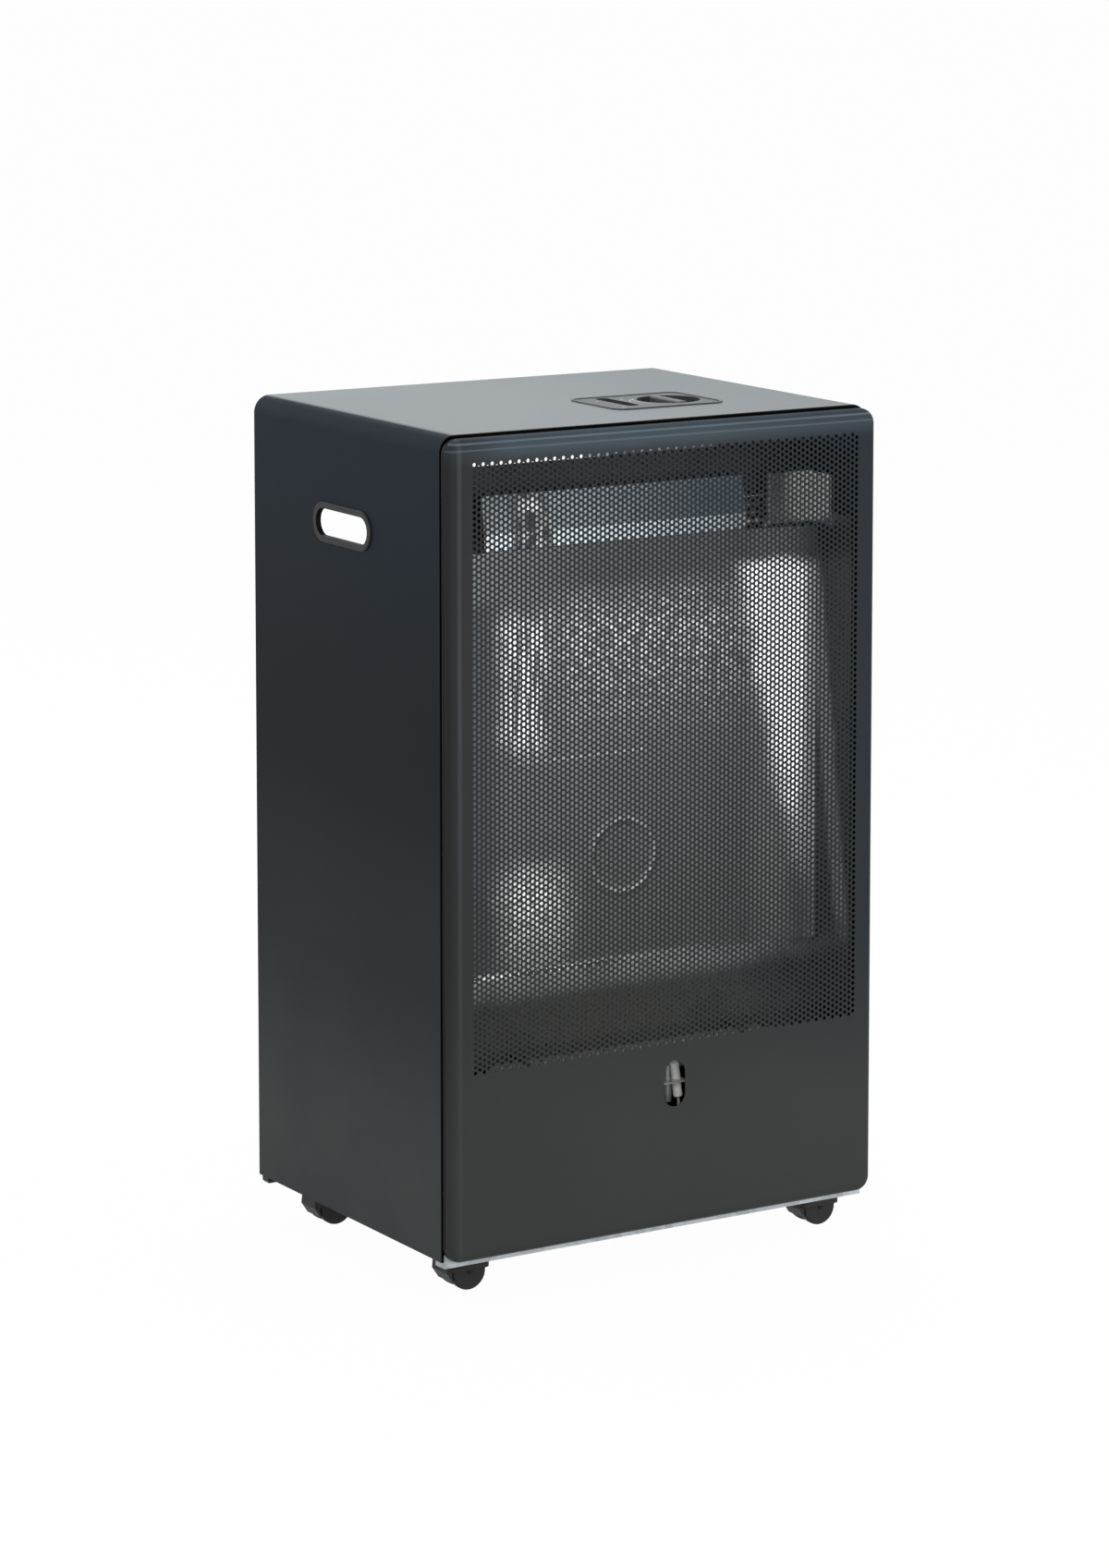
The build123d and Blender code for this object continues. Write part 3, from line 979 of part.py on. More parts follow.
def corner_guide():
    """Bright corner sheet beside the top deflector, right side."""
    inner = CHAMBER_HALF - CORNER_GUIDE_REACH
    front = REFLECTOR_Y - SHEET
    guide = block(inner, CHAMBER_HALF, front, REFLECTOR_Y, DEFLECTOR_BOTTOM + CORNER_GUIDE_LIFT, SIDE_TOP)
    return guide + block(CHAMBER_HALF - SHEET, CHAMBER_HALF, REFLECTOR_Y - CORNER_GUIDE_DEPTH, REFLECTOR_Y,
                         DEFLECTOR_BOTTOM + CORNER_GUIDE_LIFT, SIDE_TOP)


def heat_shield():
    """Plate hung under the cabinet's top over the chamber."""
    plate_z = ROOF_UNDER - SHIELD_DROP
    shield = block(-SHIELD_HALF, SHIELD_HALF, SHIELD_FRONT_Y, SHIELD_BACK_Y, plate_z, plate_z + SHEET)
    for low, high in ((SHIELD_FRONT_Y, SHIELD_FRONT_Y + SHEET), (SHIELD_BACK_Y - SHEET, SHIELD_BACK_Y)):
        shield += block(-SHIELD_HALF, SHIELD_HALF, low, high, plate_z, ROOF_UNDER)
    return shield


def chamber_floor():
    """Sloping sheet from the back reflector down to behind the burner."""
    return bent_sheet([(REFLECTOR_Y, REFLECTOR_BOTTOM), (FLOOR_KNEE_Y, FLOOR_KNEE_Z),
                       (FLOOR_KNEE_Y, FLOOR_LIP_Z)], SHEET, -CHAMBER_HALF, CHAMBER_HALF)


# ---- burner --------------------------------------------------------------------------------
def capsule(radius, left, right):
    """A round bar along X with ball ends."""
    bar = rod_x(BURNER_Y, BURNER_Z, left + radius, right - radius, radius)
    for x in (left + radius, right - radius):
        bar += Pos(x, BURNER_Y, BURNER_Z) * Sphere(radius)
    return bar


def burner_tube():
    tube = capsule(BURNER_RADIUS, BURNER_LEFT, BURNER_RIGHT)
    tube += rod_x(BURNER_Y, BURNER_Z, BURNER_RIGHT - BURNER_RADIUS, NECK_END, NECK_RADIUS)
    tube -= capsule(BURNER_RADIUS - BURNER_WALL, BURNER_LEFT + BURNER_WALL, BURNER_RIGHT - BURNER_WALL)
    tube -= rod_x(BURNER_Y, BURNER_Z, BURNER_RIGHT - BURNER_RADIUS, NECK_END + CUT, NECK_RADIUS - BURNER_WALL)
    span = BURNER_RIGHT - BURNER_LEFT - 2 * BURNER_RADIUS
    count = int(span / PORT_SLOT_PITCH)
    first = (BURNER_LEFT + BURNER_RIGHT - (count - 1) * PORT_SLOT_PITCH) / 2
    ports = Sketch() + [Pos(first + index * PORT_SLOT_PITCH, BURNER_Y)
                        * Rectangle(PORT_SLOT_WIDTH, PORT_SLOT_LENGTH) for index in range(count)]
    return tube - Pos(0, 0, BURNER_Z) * extrude(ports, BURNER_RADIUS + CUT)


def burner_stand(x):
    """Upright plate with a foot on the tray and a ring round the burner."""
    head = BURNER_RADIUS + STAND_HEAD
    back = BURNER_Y + BURNER_RADIUS + STAND_HEAD
    leg = BURNER_Y - STAND_LEG
    stand = block(x, x + STAND_SHEET, leg, back, TRAY_TOP, BURNER_Z)
    stand += block(x, x + STAND_SHEET, BURNER_Y - head, back, BURNER_Z - head, BURNER_Z + head)
    stand += block(x, x + STAND_FOOT, leg, back, TRAY_TOP, TRAY_TOP + STAND_SHEET)
    return stand - rod_x(BURNER_Y, BURNER_Z, x - CUT, x + STAND_SHEET + CUT, BURNER_RADIUS)


def mixer_tube():
    tube = rod_x(BURNER_Y, BURNER_Z, MIXER_START, INJECTOR_BRACKET_X, MIXER_RADIUS)
    tube -= rod_x(BURNER_Y, BURNER_Z, MIXER_START - CUT, INJECTOR_BRACKET_X + CUT, NECK_RADIUS)
    air_x = INJECTOR_BRACKET_X - AIR_HOLE_INSET
    tube -= rod_y(air_x, BURNER_Z, BURNER_Y - 2 * MIXER_RADIUS, BURNER_Y + 2 * MIXER_RADIUS, AIR_HOLE_RADIUS)
    return tube - rod_z(air_x, BURNER_Y, BURNER_Z - 2 * MIXER_RADIUS, BURNER_Z + 2 * MIXER_RADIUS,
                        AIR_HOLE_RADIUS)


def injector():
    jet = rod_x(BURNER_Y, BURNER_Z, INJECTOR_START, INJECTOR_END, INJECTOR_RADIUS)
    jet += rod_x(BURNER_Y, BURNER_Z, INJECTOR_BRACKET_X + STAND_SHEET, INJECTOR_END,
                 INJECTOR_RADIUS + INJECTOR_COLLAR)
    jet -= rod_x(BURNER_Y, BURNER_Z, INJECTOR_START - CUT, INJECTOR_END, JET_RADIUS)
    return jet


def injector_bracket():
    x = INJECTOR_BRACKET_X
    reach = MIXER_RADIUS + INJECTOR_COLLAR
    leg_back = CASTER_FRONT_Y - SOCKET_RADIUS - INJECTOR_LEG_GAP
    leg_front = leg_back - INJECTOR_LEG
    plate = block(x, x + STAND_SHEET, BURNER_Y - reach, BURNER_Y + reach, BURNER_Z - reach, BURNER_Z + reach)
    plate += block(x, x + STAND_SHEET, leg_front, leg_back, TRAY_TOP, BURNER_Z)
    plate += block(x - STAND_FOOT, x, leg_front, leg_back, TRAY_TOP, TRAY_TOP + STAND_SHEET)
    return plate - rod_x(BURNER_Y, BURNER_Z, x - CUT, x + STAND_SHEET + CUT, INJECTOR_RADIUS)


# ---- pilot ---------------------------------------------------------------------------------
def electrode_body(radius, start, end):
    """Rod on the leaning electrode axis, from start to end measured from the ceramic's foot."""
    lean = ELECTRODE_AXIS.normalized()
    plane = Plane(origin=ELECTRODE_FOOT + lean * start, z_dir=lean)
    return extrude(plane * Circle(radius), end - start)


def spark_electrode():
    length = ELECTRODE_AXIS.length
    ceramic = electrode_body(ELECTRODE_RADIUS, 0, length)
    ceramic = chamfer(ceramic.edges().filter_by(GeomType.CIRCLE), ELECTRODE_CHAMFER)
    return ceramic - electrode_body(ELECTRODE_PIN_RADIUS, -CUT, length + CUT)


def electrode_pin():
    return electrode_body(ELECTRODE_PIN_RADIUS, -ELECTRODE_TERMINAL, ELECTRODE_AXIS.length + ELECTRODE_TIP)


def thermocouple():
    return rod_z(THERMOCOUPLE_X, THERMOCOUPLE_Y, THERMOCOUPLE_BOTTOM, THERMOCOUPLE_TOP, THERMOCOUPLE_RADIUS)


def pilot_burner():
    """Small brass burner with a half-round hood over its flame."""
    burner = rod_z(PILOT_X, PILOT_Y, PILOT_BOTTOM, PILOT_TOP, PILOT_RADIUS)
    hood = rod_z(PILOT_X, PILOT_Y, PILOT_TOP, PILOT_HOOD_TOP, PILOT_RADIUS)
    hood -= rod_z(PILOT_X, PILOT_Y, PILOT_TOP, PILOT_HOOD_TOP, PILOT_RADIUS - PILOT_HOOD_WALL)
    hood -= block(PILOT_X + PILOT_HOOD_WALL, PILOT_X + PILOT_RADIUS + CUT, PILOT_Y - PILOT_RADIUS - CUT,
                  PILOT_Y + PILOT_RADIUS + CUT, PILOT_TOP, PILOT_HOOD_TOP)
    return burner + hood


def pilot_bracket():
    left, right = SIGHT_X - PILOT_PLATE_LEFT, SIGHT_X + PILOT_PLATE_RIGHT
    front, back = CABINET_FRONT + PILOT_PLATE_SETBACK, BURNER_Y + PILOT_PLATE_UNDER
    leg = SIGHT_X + PILOT_LEG_RIGHT
    leg_front = CABINET_FRONT + PILOT_LEG_SETBACK
    bracket = block(left, right, front, back, PILOT_PLATE_Z, PILOT_PLATE_TOP)
    bracket += block(leg, leg + BRACKET_SHEET, leg_front, back, TRAY_TOP, PILOT_PLATE_Z)
    bracket += block(leg, leg + STAND_FOOT, leg_front, back, TRAY_TOP, TRAY_TOP + BRACKET_SHEET)
    bracket -= electrode_body(ELECTRODE_RADIUS, 0, ELECTRODE_AXIS.length)
    bracket -= rod_z(PILOT_X, PILOT_Y, PILOT_PLATE_Z - CUT, PILOT_PLATE_TOP + CUT, PILOT_RADIUS)
    return bracket - rod_z(THERMOCOUPLE_X, THERMOCOUPLE_Y, PILOT_PLATE_Z - CUT, PILOT_PLATE_TOP + CUT,
                           THERMOCOUPLE_RADIUS)


# ---- pipes and leads -----------------------------------------------------------------------
def pipe_start(name, x, y, top):
    """The first points of a pipe: down from its port, back to front over the bulkhead, then sideways."""
    level, column = PIPE_LEVELS[name], PIPE_COLUMNS[name]
    return [(x, y, top), (x, y, level), (x, RUN_Y, level), (column, RUN_Y, level)]


def burner_pipe():
    column = PIPE_COLUMNS["burner"]
    points = pipe_start("burner", PORT_XS["burner"], KNOB_Y, PORT_BOTTOM)
    points += [(column, RUN_Y, BURNER_Z), (column, BURNER_Y, BURNER_Z), (INJECTOR_END, BURNER_Y, BURNER_Z)]
    return pipe(points, BURNER_PIPE_RADIUS, PIPE_BEND)


def pilot_pipe():
    column = PIPE_COLUMNS["pilot"]
    low = PILOT_BOTTOM - PILOT_PIPE_FALL
    points = pipe_start("pilot", PORT_XS["pilot"], KNOB_Y, PORT_BOTTOM)
    points += [(column, RUN_Y, low), (column, PILOT_Y, low), (PILOT_X, PILOT_Y, low),
               (PILOT_X, PILOT_Y, PILOT_BOTTOM)]
    return pipe(points, PILOT_PIPE_RADIUS, PIPE_BEND)


def thermocouple_lead():
    column = PIPE_COLUMNS["thermo"]
    low = THERMOCOUPLE_BOTTOM - THERMO_LEAD_FALL
    points = pipe_start("thermo", PORT_XS["thermo"], KNOB_Y, PORT_BOTTOM)
    points += [(column, RUN_Y, low), (column, THERMOCOUPLE_Y, low), (THERMOCOUPLE_X, THERMOCOUPLE_Y, low),
               (THERMOCOUPLE_X, THERMOCOUPLE_Y, THERMOCOUPLE_BOTTOM)]
    return pipe(points, THERMO_LEAD_RADIUS, LEAD_BEND)


def ignition_lead():
    """From the igniter's foot to the terminal under the electrode."""
    column = PIPE_COLUMNS["ignition"]
    lean = ELECTRODE_AXIS.normalized()
    end = ELECTRODE_FOOT - lean * ELECTRODE_TERMINAL
    straight = end - lean * IGNITION_LEAD_END
    low = end.Z - IGNITION_LEAD_FALL
    run_y = ELECTRODE_Y + IGNITION_LEAD_BACK
    points = pipe_start("ignition", IGNITER_X, IGNITER_Y, IGNITER_BOTTOM)
    points += [(column, RUN_Y, low), (column, run_y, low), (straight.X, run_y, low),
               (straight.X, run_y, straight.Z - IGNITION_LEAD_EASE),
               (straight.X, straight.Y, straight.Z), (end.X, end.Y, end.Z)]
    return pipe(points, IGNITION_LEAD_RADIUS, LEAD_BEND)


# ---- write every node ----------------------------------------------------------------------
os.makedirs("parts", exist_ok=True)

save("cabinet_shell", cabinet_shell())
save("front_panel", front_panel())
save("panel_spacers", *panel_spacers())
save("panel_screws", *panel_screws())
save("base_tray", base_tray())
save("rear_feet", *rear_feet())
save("handle_rim_left", handle_rim(-1))
save("handle_rim_right", handle_rim(1))

save("rear_cover", rear_cover())
save("rear_hinge_brackets", *[hinge_bracket(height) for height in HINGE_HEIGHTS])
save("rear_hinge_pins", *[hinge_pin(height) for height in HINGE_HEIGHTS])
save("rear_catch", rear_catch())

save("control_panel", control_panel())
save("control_knob", control_knob())
save("valve_stem", valve_stem())
save("knob_collar", knob_collar())
save("igniter_button", igniter_button())
save("igniter_body", igniter_body())
save("valve_bracket", valve_bracket())
save("gas_valve", gas_valve())
save("hose_nozzle", hose_nozzle())

save("bulkhead", bulkhead())
save("reflector_back", reflector_back())
right_side, left_side = both_sides(reflector_side())
save("reflector_right", right_side)
save("reflector_left", left_side)
save("top_deflector", top_deflector())
save("corner_guides", *both_sides(corner_guide()))
save("heat_shield", heat_shield())
save("chamber_floor", chamber_floor())

save("burner_tube", burner_tube())
save("burner_stands", *[burner_stand(x) for x in BURNER_STANDS])
save("mixer_tube", mixer_tube())
save("injector", injector())
save("injector_bracket", injector_bracket())

save("pilot_bracket", pilot_bracket())
save("pilot_burner", pilot_burner())
save("spark_electrode", spark_electrode())
save("electrode_pin", electrode_pin())
save("thermocouple", thermocouple())

save("burner_pipe", burner_pipe())
save("pilot_pipe", pilot_pipe())
save("thermocouple_lead", thermocouple_lead())
save("ignition_lead", ignition_lead())

save("caster_sockets", *[caster_socket(x, y) for x, y in caster_places().values()])
for place, (caster_x, caster_y) in caster_places().items():
    save(f"caster_hood_{place}", caster_hood(caster_x, caster_y))
    save(f"caster_pins_{place}", *caster_pins(caster_x, caster_y))
    save(f"caster_wheels_{place}", *caster_wheels(caster_x, caster_y))
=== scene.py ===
"""Portable gas cabinet heater: its looks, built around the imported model.

The camera's place and the shapes are written in millimetres, the finishes and the studio in
metres, all in the heater's own frame: x from left to right seen from the front, y to the rear,
z up from the floor.
"""
import json
import math
import bmesh
import bpy
from mathutils import Matrix, Vector
from mathutils.geometry import tessellate_polygon


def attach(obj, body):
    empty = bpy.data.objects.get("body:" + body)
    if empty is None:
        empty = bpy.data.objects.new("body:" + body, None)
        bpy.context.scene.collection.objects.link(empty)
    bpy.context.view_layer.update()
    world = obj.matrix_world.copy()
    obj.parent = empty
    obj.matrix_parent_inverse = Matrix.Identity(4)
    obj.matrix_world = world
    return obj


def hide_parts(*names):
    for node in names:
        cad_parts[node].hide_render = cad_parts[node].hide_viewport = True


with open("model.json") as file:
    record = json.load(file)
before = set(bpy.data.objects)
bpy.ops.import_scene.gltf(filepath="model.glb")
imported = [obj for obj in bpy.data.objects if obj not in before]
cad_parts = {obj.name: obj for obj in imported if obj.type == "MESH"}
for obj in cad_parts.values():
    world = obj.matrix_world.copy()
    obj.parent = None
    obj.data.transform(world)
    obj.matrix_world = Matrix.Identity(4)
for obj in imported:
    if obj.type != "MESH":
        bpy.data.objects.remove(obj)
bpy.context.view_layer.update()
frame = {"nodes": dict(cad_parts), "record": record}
MM = 0.001
nodes = frame["nodes"]

# ---- camera --------------------------------------------------------------------------------
FOCAL_PX = 5380.0
LONG_SIDE_PX = 1697.0
SHIFT_PX = (-285.9, -434.3)
SENSOR_WIDTH = 36
CAMERA_AT = (-2234.1, -3691.5, 1261.05)
CAMERA_PITCH, CAMERA_YAW, CAMERA_ROLL = 6.679, 34.169, 0.353    # degrees
CLIP_END = 200


def make_camera():
    """The camera, as solved on the cabinet's edges."""
    data = bpy.data.cameras.new("camera")
    data.sensor_width = SENSOR_WIDTH
    data.lens = FOCAL_PX * SENSOR_WIDTH / LONG_SIDE_PX
    data.shift_x, data.shift_y = (shift / LONG_SIDE_PX for shift in SHIFT_PX)
    data.clip_end = CLIP_END
    camera = bpy.data.objects.new("camera", data)
    pitch, yaw, roll = (math.radians(turn) for turn in (CAMERA_PITCH, CAMERA_YAW, CAMERA_ROLL))
    ahead = Vector((math.sin(yaw) * math.cos(pitch), math.cos(yaw) * math.cos(pitch),
                    -math.sin(pitch)))
    right = Vector((math.cos(yaw), -math.sin(yaw), 0))
    up = right.cross(ahead)
    right, up = (right * math.cos(roll) + up * math.sin(roll),
                 up * math.cos(roll) - right * math.sin(roll))
    stance = Matrix((right, up, -ahead)).transposed()
    camera.matrix_world = Matrix.Translation(Vector(CAMERA_AT) * MM) @ stance.to_4x4()
    bpy.context.scene.collection.objects.link(camera)
    bpy.context.scene.camera = camera


# ---- shader sums ---------------------------------------------------------------------------
class Flow:
    """A socket whose values can be added, taken away and multiplied like numbers."""

    def __init__(self, finish, socket):
        self.finish, self.socket = finish, socket

    def __add__(self, other):
        return self.finish.sum("ADD", self, other)

    def __sub__(self, other):
        return self.finish.sum("SUBTRACT", self, other)

    def __rsub__(self, other):
        return self.finish.sum("SUBTRACT", other, self)

    def __mul__(self, other):
        return self.finish.sum("MULTIPLY", self, other)


class Finish:
    """A material whose nodes are written as sums."""

    def __init__(self, name, **values):
        self.material = bpy.data.materials.new(name)
        self.material.use_nodes = True
        self.tree = self.material.node_tree
        self.shader = self.tree.nodes["Principled BSDF"]
        self.feed(**values)

    def plug(self, value, socket):
        if isinstance(value, Flow):
            self.tree.links.new(value.socket, socket)
        else:
            socket.default_value = value

    def feed(self, **values):
        """Values for the shader's sockets, each named in lower case with underscores."""
        for name, value in values.items():
            socket = name.replace("_", " ").title().replace("Ior", "IOR")
            self.plug(value, self.shader.inputs[socket])

    def node(self, kind, settings=None, inputs=None, output=0):
        made = self.tree.nodes.new(kind)
        for key, value in (settings or {}).items():
            setattr(made, key, value)
        for key, value in (inputs or {}).items():
            self.plug(value, made.inputs[key])
        return Flow(self, made.outputs[output])

    def sum(self, operation, *values):
        return self.node("ShaderNodeMath", {"operation": operation}, dict(enumerate(values)))

    def place(self):
        """Metres in the heater's own frame."""
        return self.node("ShaderNodeTexCoord", output="Object")

    def axis(self, letter):
        return self.node("ShaderNodeSeparateXYZ", None, {0: self.place()}, letter)

    def stretched(self, scales):
        """The place with each axis scaled on its own."""
        return self.node("ShaderNodeVectorMath", {"operation": "MULTIPLY"},
                         {0: self.place(), 1: scales})

    def noise(self, scale, detail, where=None):
        return self.node("ShaderNodeTexNoise", None,
                         {"Vector": where or self.place(), "Scale": scale, "Detail": detail})

    def grain(self, scales, detail=3.0):
        """Noise with its own scale along each axis: the lowest is the way that the grain runs."""
        return self.noise(1.0, detail, self.stretched(scales))

    def cells(self, scale, output="Distance"):
        return self.node("ShaderNodeTexVoronoi", None,
                         {"Vector": self.place(), "Scale": scale}, output)

    def between(self, value, low, high):
        """0 at low, 1 at high, smooth between and level beyond them; low may be the greater."""
        return self.node("ShaderNodeMapRange", {"interpolation_type": "SMOOTHSTEP"},
                         {"Value": value, "From Min": low, "From Max": high})

    def stripe(self, value, start, full, fade, end):
        """0 before start, 1 from full to fade, 0 after end."""
        return self.between(value, start, full) * self.between(value, end, fade)

    def patch(self, across, up, left, right, low, high, soft):
        """1 inside a rectangle, whose edges are soft to that distance on both sides."""
        return (self.stripe(across, left - soft, left + soft, right - soft, right + soft)
                * self.stripe(up, low - soft, low + soft, high - soft, high + soft))

    def blend(self, share, first, second):
        """One colour into another."""
        return self.node("ShaderNodeMix", {"data_type": "RGBA"}, {0: share, 6: first, 7: second}, 2)

    def layers(self, colour, *coats):
        """A colour with each (share, colour) blended over it in turn."""
        for share, coat in coats:
            colour = self.blend(share, colour, coat)
        return colour

    def bump(self, height, depth, strength):
        return self.node("ShaderNodeBump", None,
                         {"Strength": strength, "Distance": depth, "Height": height})


def rgb(red, green, blue):
    """A colour as seen on a screen, 0 to 255, as the shader's linear one."""
    def linear(value):
        value /= 255
        return value / 12.92 if value <= 0.04045 else ((value + 0.055) / 1.055) ** 2.4
    return (linear(red), linear(green), linear(blue), 1.0)


def shade(colour, factor):
    """A colour made darker or lighter."""
    return [part * factor for part in colour[:3]] + [1]


# ---- painted sheet -------------------------------------------------------------------------
# Tones of the paint, with painted light in them: lighter near the floor, darker and cooler towards
# the top. Height and colour, from the bottom up.
CABINET_TONES = ((0.1, rgb(68, 70, 67)), (0.28, rgb(44, 47, 47)),
                 (0.46, rgb(26, 29, 31)), (0.72, rgb(27, 36, 44)))
PANEL_TONES = ((0.1, rgb(54, 55, 53)), (0.34, rgb(41, 42, 41)), (0.7, rgb(40, 42, 43)))
COVER_TONES = ((0.1, rgb(60, 62, 62)), (0.3, rgb(48, 52, 54)), (0.6, rgb(44, 49, 53)))
# Painted shade in the gap between the cabinet and its panel: depths from which the paint turns
# dark.
CABINET_GAP_SHADE = (-0.1583, -0.159)
PANEL_GAP_SHADE = (-0.1685, -0.1665)
GAP_SHADE_COLOUR = rgb(4, 5, 5)
# The cabinet's top face: heights at which its sheen sets in, and where it weakens to the right.
TOP_FACE = (0.7392, 0.7399)
TOP_SHEEN, TOP_SHEEN_DULLS = 0.7, (-0.1, 0.2)
# The paint itself: scales of its peel, specks and clouds, and how rough it is.
PEEL, SPECKS, CLOUDS = 620.0, 1600.0, 9.0
PEEL_DEPTH = 0.00012
SPECK_COLOUR = rgb(80, 82, 84)
PAINT_ROUGHNESS = 0.42
# Light on the front panel: it cools to the right, above its foot.
COOL_ACROSS, COOL_ABOVE = (-0.05, 0.24), (0.12, 0.3)
COOL_COLOUR, COOL_SHARE = rgb(30, 38, 44), 0.85
# A band of light lies along its upper edge, weaker at both ends.
BAND_HEIGHT, BAND_LEFT, BAND_RIGHT = (0.712, 0.728), (-0.206, -0.15), (0.02, 0.2)
BAND_COLOUR, BAND_SHARE, BAND_LEAST = rgb(68, 80, 88), 0.85, 0.25
# Painted highlights: two along its upper edge and a faint one up its left edge, brighter to the
# top.
UPPER_EDGE_HIGHLIGHT = (0.7322, 0.7332, 0.7338, 0.7348)
LOWER_EDGE_HIGHLIGHT = (0.7268, 0.7276, 0.7282, 0.729)
LEFT_EDGE_HIGHLIGHT, LEFT_HIGHLIGHT_GROWS = (-0.2072, -0.205, -0.2032, -0.2012), (0.1, 0.6)
EDGE_HIGHLIGHT_COLOUR = rgb(126, 136, 142)


def panel_light(coat, tone, across, height):
    """The tone with the light that lies on the front panel and its rounded edges."""
    cool = coat.between(across, *COOL_ACROSS) * coat.between(height, *COOL_ABOVE) * COOL_SHARE
    along = coat.between(across, *BAND_LEFT) * (1 - coat.between(across, *BAND_RIGHT) * 0.45)
    along = along * (1 - BAND_LEAST) + BAND_LEAST
    band = coat.between(height, *BAND_HEIGHT) * along * BAND_SHARE
    # Painted highlights along the upper edge and up the left edge.
    edge_highlights = coat.stripe(height, *UPPER_EDGE_HIGHLIGHT) + coat.stripe(height, *LOWER_EDGE_HIGHLIGHT) * 0.5
    line = coat.stripe(across, *LEFT_EDGE_HIGHLIGHT)
    line = line * (coat.between(height, *LEFT_HIGHLIGHT_GROWS) * 0.07 + 0.04)
    return coat.layers(tone, (cool, COOL_COLOUR), (band, BAND_COLOUR),
                       (edge_highlights * 0.5 + line, EDGE_HIGHLIGHT_COLOUR))


def powder_coat(name, tones, gap=None, front=False, top=False):
    """Satin powder coat: fine orange peel, faint clouds, and painted light in slow changes of tone
    up the sheet.
    """
    coat = Finish(name, specular_ior_level=0.07, ior=1.3, coat_roughness=0.16, coat_ior=1.5)
    across, depth, height = (coat.axis(letter) for letter in "XYZ")
    tone = tones[0][1]
    for (low, _), (high, colour) in zip(tones, tones[1:]):
        tone = coat.blend(coat.between(height, low, high), tone, colour)
    if front:
        tone = panel_light(coat, tone, across, height)
    cloud = coat.noise(CLOUDS, 4.0)
    speck = coat.noise(SPECKS, 2.0)
    tone = coat.layers(tone, ((cloud - 0.5) * 0.5 + 0.25, shade(tones[-1][1], 1.2)),
                       (coat.between(speck, 0.62, 0.8) * 0.2, SPECK_COLOUR))
    # Painted shade: the coat turns dark in the gap between the cabinet and its panel.
    if gap:
        tone = coat.blend(coat.between(depth, *gap), tone, GAP_SHADE_COLOUR)
    coat.feed(base_color=tone,
              roughness=(cloud - 0.5) * 0.12 + (speck - 0.5) * 0.08 + PAINT_ROUGHNESS,
              normal=coat.bump(coat.noise(PEEL, 3.0) + speck * 0.4, PEEL_DEPTH, 0.5))
    if top:
        sheen = (speck - 0.5) * 0.3 + TOP_SHEEN - coat.between(across, *TOP_SHEEN_DULLS) * 0.1
        coat.feed(coat_weight=coat.between(height, *TOP_FACE) * sheen)
    return coat.material


# ---- sheets of the chamber -----------------------------------------------------------------
ACROSS_GRAIN, LONG_GRAIN, UPRIGHT_GRAIN = (8, 700, 700), (6, 900, 900), (700, 700, 9)
BRIGHT = rgb(252, 252, 252)
# The back reflector's face and its pressed ring, in millimetres.
PLATE_Y = -87.5
RING_X, RING_Z, RING_RADIUS = 10.0, 350.0, 32.0
RING_HALF_WIDTH = 4.0
# A painted highlight along the crest of the pressed ring: its colour and share.
RING_HIGHLIGHT_COLOUR, RING_HIGHLIGHT_SHARE = rgb(226, 228, 229), 0.34
# Its painted reflections of the lamps, in patches and along the line of a crease: left, right,
# bottom, top and softness of the edges.
UPPER_REFLECTION = (-0.112, -0.068, 0.452, 0.57, 0.014)
MIDDLE_REFLECTION = (-0.056, 0.15, 0.42, 0.572, 0.024)
LOWER_REFLECTION = (-0.108, -0.05, 0.262, 0.345, 0.022)
CREASE_HIGHLIGHT = (-0.1, 0.035, 0.4405, 0.4425, 0.001)
# The painted reflection in the corner on its right: a point on its slanting edge, the slope
# and softness of that edge, and the corner's top.
CORNER_X, CORNER_Z, CORNER_SLOPE = 0.126, 0.573, 0.24
CORNER_EDGE, CORNER_TOP = (-0.01, 0.025), (0.604, 0.588)
# The painted reflection along the fold at its foot: the fold's top, and where it ends to the right.
FOOT_TOP, FOOT_END = (0.263, 0.259), (0.15, -0.02)
# Colour of the painted reflections.
PAINTED_REFLECTION_COLOUR = rgb(248, 249, 250)
# The painted reflection on the side reflectors, a slanting streak: a point on it, its slope, width
# and heights.
STREAK_Y, STREAK_Z, STREAK_SLOPE = -0.095, 0.6, 0.145
STREAK_WIDTH, STREAK_HEIGHT = (-0.016, -0.006, 0.006, 0.016), (0.255, 0.29, 0.575, 0.625)
# The top deflector: where it darkens to the right, its lower lip, and the dent near its left end.
BAND_DARKENS, BAND_LIP = (-0.13, 0.12), (0.6425, 0.6415)
DENT = (-0.1, -0.07, 0.62, 0.69, 0.006)
DENT_GRAIN = (150, 150, 34)


def rolled_steel(name, colour, stain, roughness, grain=LONG_GRAIN, metallic=1.0):
    """Sheet steel with rolling lines along one axis, light stains and fine scratches."""
    steel = Finish(name, metallic=metallic)
    lines = steel.grain(grain, 4.0)
    blotch = steel.noise(14.0, 5.0)
    tone = steel.layers(colour, (steel.between(blotch, 0.45, 0.75) * 0.55, stain),
                        ((lines - 0.5) * 0.7 + 0.2, shade(colour, 0.72)))
    steel.feed(base_color=tone,
               roughness=(lines - 0.5) * 0.12 + blotch * 0.1 + (roughness - 0.05),
               normal=steel.bump(lines * 0.25, 0.0004, 0.6))
    return steel.material


